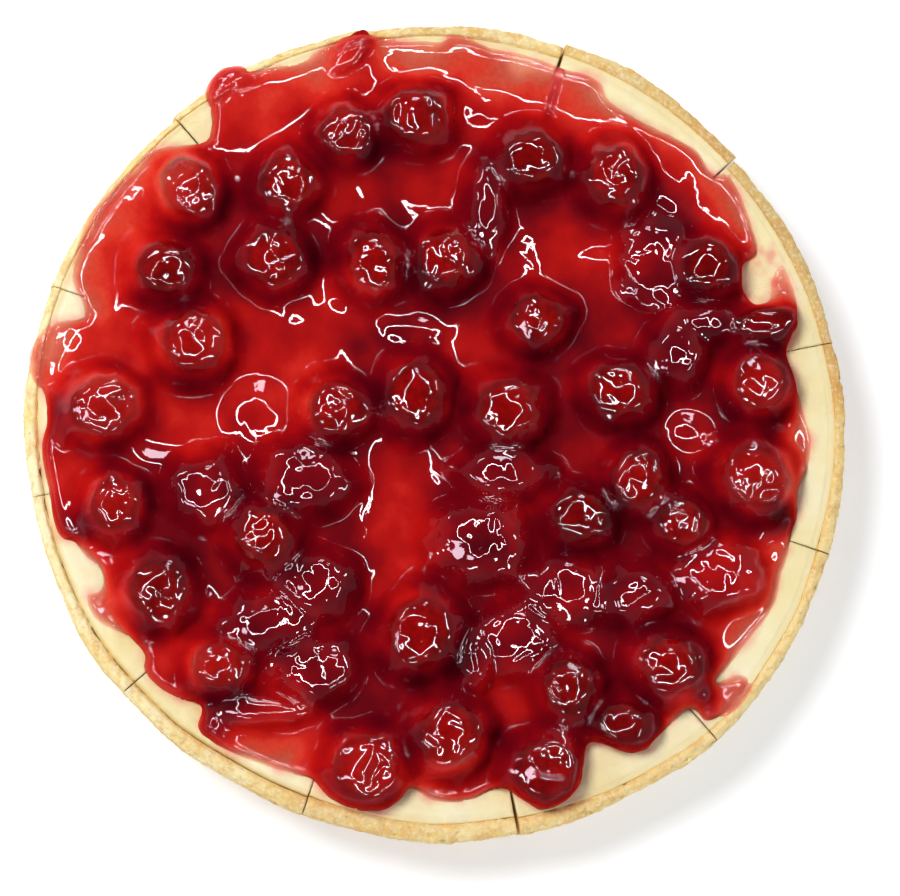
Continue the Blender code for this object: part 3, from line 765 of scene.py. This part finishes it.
def crust_slice(index, mat):
    inner = RIM_R - WALL_T
    # Radius, height and how wide the spacing of the points is.
    profile = dense((
        (0.0, BASE_T, 40), (inner - 1.2, BASE_T, 40), (inner, BASE_T + 1.2, 4), (inner, 36.2, 14),
        (inner + 0.12, 37.6, 0.8), (inner + 0.7, CAKE_H - 0.05, 0.7), (RIM_R - 2.2, CAKE_H + 0.1, 0.7),
        (RIM_R - 1.6, CAKE_H - 0.2, 0.7), (RIM_R - 1.1, CAKE_H - 0.6, 0.7), (RIM_R - 0.5, CAKE_H - 1.2, 0.7),
        (RIM_R - 0.1, CAKE_H - 2.0, 0.7), (RIM_R, CAKE_H - 3.4, 0.8), (RIM_R - 0.3, 20.0, 1),
        (RIM_R - 0.8, 3.0, 1), (RIM_R - 1.4, 1.0, 1), (RIM_R - 2.6, 0.0, 1), (0.0, 0.0, 50),
    ), 0.55)
    x, y, z = slice_grid(index, profile, 112)
    turn = np.arctan2(y, x)
    # Crumbs, pits and flakes, only on the faces that show.
    show = ease(np.hypot(x, y) - inner + 0.2) * ease(z / 2.5) * ease((z - 2.0) / 6.0 + 0.4)
    crumb = 0.30 * noise3(x / 3.4, y / 3.4, z / 3.4, 11) + 0.27 * noise3(x / 1.5, y / 1.5, z / 1.5, 12)
    crumb = crumb - 0.65 * ease((noise3(x / 1.9, y / 1.9, z / 1.9, 14) - 0.28) / 0.35)
    crumb = crumb + 0.22 * ease((noise3(x / 7.0, y / 7.0, z / 2.2, 15) - 0.05) / 0.12) - 0.1
    outward = np.where(z > CAKE_H - 1.0, 0.25, 1.0)
    upward = np.where(z > CAKE_H - 2.0, 0.85, 0.0)
    x = x + np.cos(turn) * outward * crumb * show
    y = y + np.sin(turn) * outward * crumb * show
    z = z + upward * crumb * show
    thing, px, py = slice_body("crust", index, x, y, z, mat)
    value_layer(thing, "bake", around(BAKE, np.arctan2(py, px)))
    # Painted shade and light by direction round the cake.
    value_layer(thing, "painted_shade_and_light", around(PAINTED_SHADE_AND_LIGHT, np.arctan2(py, px)))
    return thing


def cream_slice(index, mat, line):
    outer = RIM_R - WALL_T - 0.06
    floor = BASE_T + GAP
    # Radius, height and how wide the spacing of the points is.
    profile = dense((
        (0.0, FLAT_Z, 1), (outer - 30.0, FLAT_Z, 5), (outer - 13.0, FLAT_Z, 1),
        (outer - 8.5, FLAT_Z + 0.45, 1), (outer - 5.5, FLAT_Z + 1.05, 1), (outer - 3.6, LIP_Z, 1),
        (outer - 1.9, LIP_Z - 0.05, 0.7), (outer - 0.8, LIP_Z - 0.55, 0.7),
        (outer - 0.2, FLAT_Z - 0.2, 0.7), (outer, 35.0, 1.5),
        (outer, floor + 1.2, 30), (outer - 1.2, floor, 4), (0.0, floor, 40),
    ), 0.8)
    x, y, z = slice_grid(index, profile, 84)
    radius = np.hypot(x, y)
    relief = 0.18 * noise2(x, y, 9.0, 31) + 0.12 * noise2(x, y, 4.2, 33) + 0.08 * noise2(x, y, 2.4, 32)
    z = z + relief * ease((z - 36.0) / 0.8)
    # The cream meets the crust, except where it has shrunk from it.
    degrees = np.degrees(np.arctan2(y, x)) % 360
    parted = ease((degrees - 172) / 12) * ease((258 - degrees) / 12)
    edge = profile[None, :, 0] - (outer - 1.3)
    meet = (1 - parted) * ease(edge / 1.1) * ease((z - 35.8) / 1.2)
    grown = 1 + 0.7 * meet / np.maximum(radius, 1.0)
    thing, px, py = slice_body("cream", index, x * grown, y * grown, z + meet, mat)
    away = -line_distance(px, py, line)[0]
    smear = np.exp(-np.clip(away, 0, None) / 2.2) * (0.55 + 0.6 * noise2(px, py, 7.0, 41))
    for sx, sy, reach in STAINS:
        spread = np.exp(-((px - sx) ** 2 + (py - sy) ** 2) / reach ** 2)
        smear = np.maximum(smear, spread * (0.75 + 0.9 * noise2(px, py, 3.0, 42)))
    value_layer(thing, "stain", np.clip(smear, 0.0, 1.0))
    rim = np.hypot(px, py) - seam_shift(np.arctan2(py, px))
    value_layer(thing, "lip", ease((rim - (outer - 2.2)) / 2.0))
    return thing


# Cherries


def ratio_to(cherry, x, y):
    """Distance from a cherry's middle, 1 at its outline, and the direction, by its own axes."""
    turn = math.radians(cherry.turn)
    dx = x - cherry.x
    dy = y - cherry.y
    along = (dx * math.cos(turn) + dy * math.sin(turn)) / cherry.long
    across = (dy * math.cos(turn) - dx * math.sin(turn)) / cherry.wide
    return np.hypot(along, across), np.arctan2(across, along)


def swelling(cherry, seed, sx, sy, sz):
    """How far a cherry's skin stands off its plain form, in millimetres, by direction."""
    lump = 0.55 * noise3(sx * 1.3, sy * 1.3, sz * 1.3, seed)
    lump = lump + 0.28 * noise3(sx * 2.9, sy * 2.9, sz * 2.9, seed + 5)
    fold = np.abs(noise3(sx * 2.0, sy * 2.0, sz * 1.1, seed + 9))
    lump = lump - 0.45 * np.exp(-(fold / 0.09) ** 2) * ease(0.5 + noise3(sx, sy, sz, seed + 3))
    if cherry.pit > 0.0:
        # The pit lies this far off the top.
        off = 0.42
        turn = math.radians(cherry.pit_turn - cherry.turn)
        close = off * (sx * math.cos(turn) + sy * math.sin(turn)) + math.sqrt(1 - off ** 2) * sz
        angle = np.arccos(np.clip(close, -1.0, 1.0))
        brim = 0.25 * np.exp(-((angle - 0.62) / 0.2) ** 2)
        lump = lump + cherry.pit * (brim - np.exp(-(angle / 0.34) ** 2))
    return lump


def crease_drop(x, y):
    """How deep the creases go at a place, in millimetres."""
    drop = np.zeros_like(x)
    for x0, y0, x1, y1, depth, half in CREASES:
        px, py = closest_on(x, y, (x0, y0), (x1, y1))
        drop = drop + depth * np.exp(-(np.hypot(x - px, y - py) / half) ** 2)
    return drop


def cherry_heights(cherry, seed, x, y):
    """Height of a cherry's top surface over the plane, or very low outside it."""
    ratio, turn = ratio_to(cherry, x, y)
    within = ratio < 0.995
    flat = np.where(within, ratio, 0.5)
    up = np.sqrt(np.clip(1 - flat * flat, 0.0, 1.0))
    swell = swelling(cherry, seed, flat * np.cos(turn), flat * np.sin(turn), up)
    z = cherry.middle_z() + cherry.half_height() * up + swell * (0.25 + 0.75 * up) - crease_drop(x, y)
    return np.where(within, z, -1000.0), ratio


def cherry_mesh(name, cherry, seed, mat, dark=0.0):
    rings = 30
    sides = 48
    theta = np.linspace(0.0, math.pi, rings + 1)[1:-1]
    phi = np.linspace(0.0, math.tau, sides, endpoint=False)
    th, ph = np.meshgrid(theta, phi, indexing="ij")
    dirs = np.stack([np.sin(th) * np.cos(ph), np.sin(th) * np.sin(ph), np.cos(th)], axis=-1).reshape(-1, 3)
    sx, sy, up = np.concatenate([dirs, [[0, 0, 1], [0, 0, -1]]]).T
    # The lower half stays plain, because it lies in the sauce.
    swell = swelling(cherry, seed, sx, sy, up) * ease(up / 0.3 + 0.6)
    x = (cherry.long + 0.6 * swell) * sx
    y = (cherry.wide + 0.6 * swell) * sy
    z = cherry.half_height() * up + swell * (0.25 + 0.75 * np.abs(up)) * np.sign(up)
    turn = math.radians(cherry.turn)
    cake_x = cherry.x + x * math.cos(turn) - y * math.sin(turn)
    cake_y = cherry.y + x * math.sin(turn) + y * math.cos(turn)
    z = z - crease_drop(cake_x, cake_y) * ease(up * 3)
    index = np.arange((rings - 1) * sides).reshape(rings - 1, sides)
    beside = np.roll(index, -1, axis=1)
    quads = np.stack([index[:-1], index[1:], beside[1:], beside[:-1]], axis=-1)
    pole = np.full(sides, index.size)
    top_cap = np.stack([pole, index[0], beside[0]], axis=-1)
    low_cap = np.stack([pole + 1, beside[-1], index[-1]], axis=-1)
    verts = np.stack([x, y, z], axis=-1) * MM
    thing = quad_mesh(name, verts, quads, np.concatenate([top_cap, low_cap]))
    value_layer(thing, "dark", np.full(len(verts), dark))
    thing.location = Vector((cherry.x, cherry.y, cherry.middle_z())) * MM
    thing.rotation_euler.z = turn
    thing.data.materials.append(mat)
    return thing


# Maps of the sauce


def map_places():
    ticks = np.arange(-MAP_REACH, MAP_REACH + CELL / 2, CELL)
    return np.meshgrid(ticks, ticks)


def sample(field, x, y):
    """Value of a map at any place, between its cells."""
    count = field.shape[0]
    u = np.clip((x + MAP_REACH) / CELL, 0, count - 1.001)
    v = np.clip((y + MAP_REACH) / CELL, 0, count - 1.001)
    i = u.astype(int)
    j = v.astype(int)
    u = u - i
    v = v - j
    low = field[j, i] * (1 - u) + field[j, i + 1] * u
    high = field[j + 1, i] * (1 - u) + field[j + 1, i + 1] * u
    return low * (1 - v) + high * v


def blur(field, width):
    """Softens a map over the given width in millimetres."""
    size = int(3 * width / CELL) + 1
    weights = np.exp(-0.5 * (np.arange(-size, size + 1) * CELL / width) ** 2)
    weights = weights / weights.sum()
    # Once over the rows and once over the columns.
    for _ in range(2):
        count = field.shape[0]
        padded = np.pad(field, ((size, size), (0, 0)), mode="edge")
        total = np.zeros_like(field)
        for step, weight in enumerate(weights):
            total += weight * padded[step:step + count]
        field = total.T
    return field


def pull(places, strength, x, y):
    """How much the places count against the plain level, and their thickness times that."""
    weight = np.zeros(x.shape)
    total = np.zeros(x.shape)
    for px, py, reach, thickness in places:
        near = strength * np.exp(-(((x - px) ** 2 + (y - py) ** 2) / reach ** 2) ** 1.5)
        weight += near
        total += near * thickness
    return weight, total


def sauce_level(x, y, inward, level):
    """Thickness of the sauce away from the fruit, given that of its deep places."""
    shallow, shallow_total = pull(SHALLOWS, 2.5, x, y)
    thin, thin_total = pull(FILMS, 3.0, x, y)
    weight = 1 + shallow + thin
    level = (level + shallow_total + thin_total) / weight
    filmy = thin / weight
    bead = np.sqrt(np.clip(1 - (1 - np.clip(inward / 3.0, 0, 1)) ** 2, 0, 1))
    slope = np.clip(inward / 9.0, 0, 1) ** 0.8
    level = level * (bead * (1 - filmy) + (0.3 * bead + 0.7 * slope) * filmy)
    return np.where(inward > 0, level, 0.0)


def add_swells(x, y, z):
    """Height of the sauce's top with the soft swellings."""
    for sx, sy, a, b, height in SWELLS:
        ratio = np.hypot((x - sx) / a, (y - sy) / b)
        dome = FLAT_Z + height * np.clip(1 - ratio ** 2, 0, 1) ** 0.7
        z = smooth_max(z, np.where(ratio < 1, dome, FLAT_Z - 3), 2.6)
    return z


def cells_near(cherry, x, y):
    """The rows and columns of the maps that a cherry can change."""
    reach = max(cherry.long, cherry.wide) * 2.2
    rows = np.nonzero(np.abs(y[:, 0] - cherry.y) < reach)[0]
    columns = np.nonzero(np.abs(x[0] - cherry.x) < reach)[0]
    return slice(rows[0], rows[-1] + 1), slice(columns[0], columns[-1] + 1)


def fruit_shade(cherry, drowned, dark, x, y, ratio):
    """How much darker the sauce is painted over a cherry and round it: painted shade in an uneven ring round
    its foot, darkest away from the key light; the red fruit under a drowned one; a standing one's own darker
    or paler tone, less a painted lightening of the fruit.
    """
    dx = x - cherry.x
    dy = y - cherry.y
    # Painted shade, darkest on the lower right, the side away from the key light.
    side = (dx - dy) / np.maximum(1.42 * np.hypot(dx, dy), 1.0)
    side = np.clip(1 + 0.6 * side + 0.6 * noise2(x, y, 9.0, 57), 0.1, 2.0)
    # Painted shade in an uneven ring round the cherry's foot.
    ring_at = 1.24
    width = np.where(ratio > ring_at, 0.42, 0.28)
    ring = side * np.exp(-((ratio - ring_at) / width) ** 2)
    over = ease((1.35 - ratio) / 0.5)
    if drowned:
        return ring + 0.4 * over
    # Over a standing cherry: its own darker or paler tone, and the fruit painted paler, a painted light.
    return 1.9 * ring + dark * over - 1.1 * ease((1.22 - ratio) / 0.3)


def fruit_dome(cherry, drowned, x, y, ratio, heights, ground):
    """The sauce hangs over the fruit as a wide dome of uneven outline."""
    plain = cherry.middle_z() + cherry.half_height() * np.sqrt(1 - np.clip(ratio, 0, 1) ** 2)
    swell = np.where(heights > 0, heights - plain, 0.0) * ease((1.0 - ratio) / 0.25)
    coat = (2.4 if drowned else 1.0) * small_share(cherry)
    bend = 1 + 0.16 * noise2(x, y, 10.0, 54) + 0.07 * noise2(x, y, 4.5, 55)
    reach = ratio * bend / (1.42 if drowned else 1.38)
    rise = np.maximum(0.5, FLAT_Z + cherry.top + coat - ground)
    dome = ground + rise * (1 - np.clip(reach, 0, 1) ** 2.6) ** 0.85 + swell * (0.5 if drowned else 0.6)
    return np.where(reach < 1, dome, FLAT_Z - 3.0)


def small_share(cherry):
    """1 for a cherry of full width, less for a small piece of fruit."""
    return min(1.0, cherry.wide / 7.0)


def fruit_maps(x, y, ground):
    """What the fruit does to the sauce, and the height of the sauce's top over it."""
    names = ("bare", "shade", "on_fruit", "crown")
    maps = {name: np.zeros(x.shape) for name in names}
    maps["top"] = np.full(x.shape, -1000.0)
    z = ground.copy()
    for index, cherry in enumerate(DROWNED + CHERRIES):
        near = cells_near(cherry, x, y)
        drowned = index < len(DROWNED)
        number = index - len(DROWNED) + 1
        dark = 1.2 * (number in DARK) - 0.9 * (number in PALE)
        heights, ratio = cherry_heights(cherry, CHERRY_SEED + index, x[near], y[near])
        shade = fruit_shade(cherry, drowned, dark, x[near], y[near], ratio)
        before = maps["shade"][near]
        maps["shade"][near] = np.where(np.abs(shade) > np.abs(before), shade, before)
        grow = {
            "top": heights,
            "bare": 0.0 if drowned else 0.85 * ease((1.01 - ratio) / 0.36),
            "on_fruit": small_share(cherry) * ease((1.5 - ratio) / 0.3),
            "crown": ease((1.2 - ratio) / 0.12),
        }
        for name, values in grow.items():
            maps[name][near] = np.maximum(maps[name][near], values)
        dome = fruit_dome(cherry, drowned, x[near], y[near], ratio, heights, ground[near])
        z[near] = smooth_max(z[near], dome, 1.5)
    maps["z"] = z
    return maps


def shine_map(z, crown):
    """How much gloss the sauce has at each place."""
    slope_y, slope_x = np.gradient(blur(z, 0.5), CELL)
    hollow = np.gradient(slope_y, CELL, axis=0) + np.gradient(slope_x, CELL, axis=1)
    # Deep narrow folds hardly catch the lights.
    shine = 1 - 0.99 * ease((blur(hollow, 0.5) - 0.14) / 0.26) * (1 - crown)
    # Steep flanks mirror their red neighbours, so they show hardly any gloss.
    return shine * (1 - 0.9 * ease((np.hypot(slope_x, slope_y) - 0.8) / 0.6))


def ripples(x, y, on_fruit):
    """Wrinkles: broad ones everywhere, small ones on and round the fruit."""
    ripple = 0.36 * noise2(x, y, 11.0, 61) + 0.34 * noise2(x, y, 5.6, 62)
    ridge = 1 - np.abs(noise2(x + 3.2 * noise2(x, y, 15.0, 63), y, 8.0, 64))
    ripple = ripple + 0.26 * ease((ridge - 0.8) / 0.2) * ease(noise2(x, y, 20.0, 65) * 2 + 0.5)
    small = noise2(x, y, 3.4, 66) * ease(noise2(x, y, 9.0, 67) * 2.5 + 0.6)
    tiny = noise2(x, y, 1.9, 68) * ease(noise2(x, y, 6.0, 69) * 2.5 + 0.3)
    ripple = ripple + (0.34 * small + 0.06 * tiny) * (0.25 + 0.75 * on_fruit)
    return ripple * (0.35 + 0.65 * on_fruit)


def knife_seam(x, y):
    """The furrow where the knife parted the sauce. It fades inward."""
    (x0, y0), (x1, y1) = SAUCE_CUT
    run = math.hypot(x1 - x0, y1 - y0)
    along = ((x - x0) * (x1 - x0) + (y - y0) * (y1 - y0)) / run
    off = ((x - x0) * (y1 - y0) - (y - y0) * (x1 - x0)) / run
    return np.exp(-(off / 0.75) ** 2) * ease((run - along) / 8.0) * ease((along + 8.0) / 3.0)


def sauce_maps(line):
    """Height of the sauce's top, and what its material needs to know at each place."""
    x, y = map_places()
    inward = line_distance(x, y, line[::3])[0]
    under = cover_top(x, y)
    level = sauce_level(x, y, inward, 5.8 + 1.1 * noise2(x, y, 19.0, 51))
    tone = sauce_level(x, y, inward, 7.5 + 1.6 * noise2(x, y, 14.0, 52))
    fruit = fruit_maps(x, y, add_swells(x, y, under + level))
    thick = blur(np.where(inward > 0, fruit["z"] - under, 0.0), 0.7)
    shine = shine_map(under + thick, fruit["crown"])
    thick = thick + ripples(x, y, fruit["on_fruit"]) * np.clip(thick / 3.0, 0, 1)
    seam = knife_seam(x, y)
    lift = np.clip(inward / 1.6, 0, 1)
    # The outline is rounded off.
    thick = thick * np.sqrt(1 - (1 - lift) ** 2)
    thick = np.maximum(thick - seam * (thick - 0.3) * 0.7, 0.06)
    top = fruit["top"]
    z = under + thick
    z = np.where(top > 0, np.maximum(z, top + 0.3 * lift), z)
    # How deep the sauce looks, with painted shade and painted light round and over the fruit and painted
    # shade in the knife's furrow.
    depth_and_shade = tone + 0.06 * np.maximum(0.0, thick - level) + fruit["shade"] * ease(inward / 5.0)
    cloud = 1.0 + 0.20 * noise2(x, y, 7.5, 81) + 0.10 * noise2(x, y, 3.0, 82)
    patches = noise2(x, y, 15.0, 83) * np.clip(depth_and_shade / 3, 0, 1)
    # The knife's furrow is painted darker: painted shade in it.
    depth_and_shade = depth_and_shade * cloud + patches + 2.5 * seam
    depth_and_shade = np.maximum(0.0, blur(depth_and_shade, 0.6))
    bare = fruit["bare"]
    clear = np.where(top > 0, z - top, depth_and_shade)
    slope_y, slope_x = np.gradient(blur(z, 2.6), CELL)
    return {
        "z": z, "inward": inward, "shine": shine, "depth_and_shade": depth_and_shade, "slope_x": slope_x, "slope_y": slope_y,
        "clear": depth_and_shade + (clear - depth_and_shade) * bare, "cover": ease((depth_and_shade - 0.8) / 2.0) * (1 - bare),
    }


# Mesh of the sauce


def staggered_grid(step):
    """Rows of points, every other row set off by half a step, and the triangles between them."""
    count = int(NET_REACH / step)
    ticks = np.arange(-count, count + 1) * step
    x, y = np.meshgrid(ticks, ticks)
    x = x + (np.arange(len(ticks)) % 2)[:, None] * step / 2
    index = np.arange(x.size).reshape(x.shape)
    a = index[:-1, :-1]
    b = index[:-1, 1:]
    c = index[1:, :-1]
    d = index[1:, 1:]
    odd = (np.arange(len(ticks) - 1) % 2 == 1)[:, None, None]
    first = np.where(odd, np.stack([a, b, d], -1), np.stack([a, b, c], -1))
    second = np.where(odd, np.stack([a, d, c], -1), np.stack([b, d, c], -1))
    return x.ravel(), y.ravel(), np.concatenate([first.reshape(-1, 3), second.reshape(-1, 3)])


def sauce_net(inward_map, line):
    """A flat net of triangles that fills the outline, and how far inside it each point lies."""
    step = 0.62
    x, y, faces = staggered_grid(step)
    inward = sample(inward_map, x, y)
    close = np.nonzero(np.abs(inward) < 2.0)[0]
    exact, near_x, near_y = line_distance(x[close], y[close], line)
    snap = np.abs(exact) < 0.52 * step
    inward[close] = np.where(snap, 0.0, exact)
    x[close] = np.where(snap, near_x, x[close])
    y[close] = np.where(snap, near_y, y[close])
    faces = faces[(inward[faces] >= 0.0).all(axis=1)]
    # A triangle with all corners on the outline may lie outside it.
    edgy = (inward[faces] == 0.0).all(axis=1)
    middle_x = x[faces].mean(axis=1)
    middle_y = y[faces].mean(axis=1)
    good = np.ones(len(faces), bool)
    good[edgy] = line_distance(middle_x[edgy], middle_y[edgy], line)[0] > 0.02
    # A triangle with hardly any area is left out too.
    a, b, c = faces.T
    area = (x[b] - x[a]) * (y[c] - y[a]) - (x[c] - x[a]) * (y[b] - y[a])
    faces = faces[good & (np.abs(area) > 1e-4)]
    used, faces = np.unique(faces, return_inverse=True)
    return x[used], y[used], inward[used], faces.reshape(-1, 3)


def sauce_mesh(mat, line):
    maps = sauce_maps(line)
    x, y, inward, faces = sauce_net(maps["inward"], line)
    z = np.where(inward == 0.0, cover_top(x, y) + 0.05, sample(maps["z"], x, y))
    thing = quad_mesh("cherry_sauce", np.stack([x, y, z], axis=-1) * MM, (), faces)
    for name in ("clear", "depth_and_shade", "cover", "shine"):
        value_layer(thing, name, sample(maps[name], x, y))
    # The red body is lit as if its surface were smoother.
    lean = [-0.8 * sample(maps[name], x, y) for name in ("slope_x", "slope_y")]
    soft = np.stack([*lean, np.ones(len(x))], axis=-1)
    soft = soft / np.linalg.norm(soft, axis=1)[:, None]
    layer = thing.data.attributes.new("soft", "FLOAT_VECTOR", "POINT")
    layer.data.foreach_set("vector", soft.astype(np.float32).ravel())
    close_below(thing)
    thing.data.materials.append(mat)
    return thing


def close_below(thing):
    """Turns the open sheet of sauce into a closed body with its floor inside the cream."""
    bm = bmesh.new()
    bm.from_mesh(thing.data)
    loose = [v for v in bm.verts if not v.link_faces]
    bmesh.ops.delete(bm, geom=loose, context="VERTS")
    rim = [e for e in bm.edges if e.is_boundary]
    grown = bmesh.ops.extrude_edge_only(bm, edges=rim)["geom"]
    for item in grown:
        if isinstance(item, bmesh.types.BMVert):
            item.co.z = SAUCE_FLOOR_Z * MM
    edges = [item for item in grown if isinstance(item, bmesh.types.BMEdge)]
    bmesh.ops.triangle_fill(bm, use_beauty=True, edges=edges)
    bmesh.ops.recalc_face_normals(bm, faces=bm.faces)
    for face in bm.faces:
        face.smooth = True
    bm.to_mesh(thing.data)
    bm.free()


# The whole cake


def place(piece, *nodes, slot):
    """Moves a piece from the cake's own middle to the frame, puts it under the root and hides the model's
    parts that it replaces. The slot is not used.
    """
    piece.location += SHIFT * MM
    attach(piece, "root")
    if nodes:
        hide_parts(*nodes)


def build_slices(line):
    crust_mat = crust_material()
    cream_mat = cream_material()
    for index in range(SLICES):
        crust = crust_slice(index, crust_mat)
        place(crust, f"crust_{index + 1:02d}", slot="crust")
        cream = cream_slice(index, cream_mat, line)
        place(cream, f"filling_{index + 1:02d}", slot="cream")


def build_cherries():
    mat = cherry_material()
    for index, cherry in enumerate(CHERRIES):
        number = index + 1
        dark = 0.35 * (number in DARK) - 0.3 * (number in PALE)
        seed = CHERRY_SEED + len(DROWNED) + index
        fruit = cherry_mesh(f"ripe_cherry_{number:02d}", cherry, seed, mat, dark)
        place(fruit, f"cherry_{number:02d}", slot="cherry")
    for index, cherry in enumerate(DROWNED):
        fruit = cherry_mesh(f"drowned_cherry_{index + 1:02d}", cherry, CHERRY_SEED + index, mat)
        place(fruit, slot="cherry")


def build_cake():
    line = sauce_outline()
    build_slices(line)
    build_cherries()
    sauce = sauce_mesh(sauce_material(), line)
    place(sauce, "sauce", slot="sauce")


# Floor, lights and camera


def emitter(name, verts, faces, colour, strength):
    """A glowing surface that shows only in reflections."""
    thing = flat_mesh(name, verts, faces)
    mat, n = material(name)
    n.surface(n.add("ShaderNodeEmission", {"Color": (*colour, 1.0), "Strength": strength}))
    thing.data.materials.append(mat)
    thing.visible_camera = False
    thing.visible_shadow = False
    thing.visible_diffuse = False


def ring_light(height, radius, width, arcs, colour, strength):
    """Bright arcs of a ring over the cake, given by their first and last degree."""
    verts = []
    faces = []
    steps = 72
    for first, last in arcs:
        start = len(verts)
        for k in range(steps + 1):
            turn = math.radians(first + (last - first) * k / steps)
            for r in (radius - width / 2, radius + width / 2):
                verts.append((r * math.cos(turn), r * math.sin(turn), height))
        for k in range(steps):
            a = start + 2 * k
            faces.append((a, a + 1, a + 3, a + 2))
    emitter("ring_light", verts, faces, colour, strength)


def towards(azimuth, tilt):
    """Direction from the cake, tilt degrees away from straight up."""
    turn = math.radians(azimuth)
    lean = math.radians(tilt)
    return Vector((math.cos(turn) * math.sin(lean), math.sin(turn) * math.sin(lean), math.cos(lean)))


def panel(name, azimuth, tilt, distance, wide, tall, colour, strength):
    """A square light that faces the cake."""
    out = towards(azimuth, tilt)
    turn = math.radians(azimuth)
    side = Vector((-math.sin(turn), math.cos(turn), 0.0)) * wide / 2
    up = out.cross(side.normalized()) * tall / 2
    centre = out * distance
    corners = (centre - side - up, centre + side - up, centre + side + up, centre - side + up)
    emitter(name, corners, [(0, 1, 2, 3)], colour, strength)


def build_world():
    world = bpy.data.worlds.new("studio")
    bpy.context.scene.world = world
    world.use_nodes = True
    n = Net(world.node_tree)
    height_up = n.add("ShaderNodeSeparateXYZ", {0: n.place("Generated")}).outputs[2]
    colour = n.ramp(height_up, (
        (0.0, (0.88, 0.87, 0.92)), (0.25, (0.81, 0.80, 0.87)), (0.6, (0.45, 0.43, 0.47)),
        (0.8, (0.26, 0.25, 0.26)), (1.0, (0.20, 0.19, 0.20)),
    ))
    # The gloss meets darker cloth than the plain light suggests.
    shine = n.add("ShaderNodeLightPath").outputs["Is Glossy Ray"]
    strength = n.minus(1.0, n.times(shine, 0.62))
    sky = n.add("ShaderNodeBackground", {"Color": colour, "Strength": strength})
    n.add("ShaderNodeOutputWorld", {0: sky.outputs[0]})


def build_floor():
    mat, n = material("pale_floor")
    paper = n.add("ShaderNodeBsdfDiffuse", {"Color": (0.925, 0.93, 0.945, 1.0)})
    # A paper sweep lit from behind.
    glow = n.add("ShaderNodeEmission", {"Color": (0.80, 0.92, 1.0, 1.0), "Strength": 0.40})
    n.surface(n.add("ShaderNodeAddShader", {0: paper.outputs[0], 1: glow.outputs[0]}))
    size = 3.0
    corners = ((-size, -size, 0), (size, -size, 0), (size, size, 0), (-size, size, 0))
    floor = flat_mesh("floor", corners, [(0, 1, 2, 3)])
    floor.data.materials.append(mat)


def build_camera():
    data = bpy.data.cameras.new("camera")
    camera = add_object("camera", data)
    bpy.context.scene.camera = camera
    distance = 2.0
    look = (Vector((2.8, -5.35, 38.0)) + SHIFT) * MM
    back = towards(225, 5.5)
    camera.location = look + back * distance
    # Upright in the picture is +Y.
    right = Vector((0, 1, 0)).cross(back).normalized()
    camera.rotation_euler = Matrix((right, back.cross(right), back)).transposed().to_euler()
    # The picture is this many pixels wide, each this many millimetres at the cake.
    pixels = 900
    pixel = 0.2815
    data.sensor_width = 36.0
    data.lens = data.sensor_width * distance / (pixels * pixel * MM)
    data.clip_start = 0.1
    data.clip_end = 20.0


def build_lights():
    ring_light(1.0, 0.50, 0.030, ((0, 360),), (1.0, 0.99, 1.0), 95.0)
    low_arcs = ((5, 27), (66, 84), (120, 147), (196, 212), (240, 266), (305, 330))
    ring_light(0.66, 0.98, 0.085, low_arcs, (1.0, 0.98, 1.0), 60.0)
    panel("soft_left", 215, 42, 1.1, 0.24, 0.18, (0.95, 0.80, 0.93), 26.0)
    panel("soft_top", 80, 46, 1.2, 0.26, 0.13, (0.96, 0.86, 0.95), 24.0)
    key = bpy.data.lights.new("key", "AREA")
    key.shape = "DISK"
    key.size = 0.5
    key.energy = 17.0
    lamp = add_object("key", key)
    away = Vector((-0.52, 0.34, 1.5))
    lamp.location = away
    lamp.rotation_euler = away.to_track_quat("Z", "Y").to_euler()
    lamp.visible_glossy = False


build_world()
build_floor()
build_lights()
build_camera()
build_cake()

scene = bpy.context.scene
scene.view_settings.view_transform = "Standard"
scene.view_settings.look = "None"
scene.view_settings.exposure = 0.0
scene.view_settings.gamma = 1.0
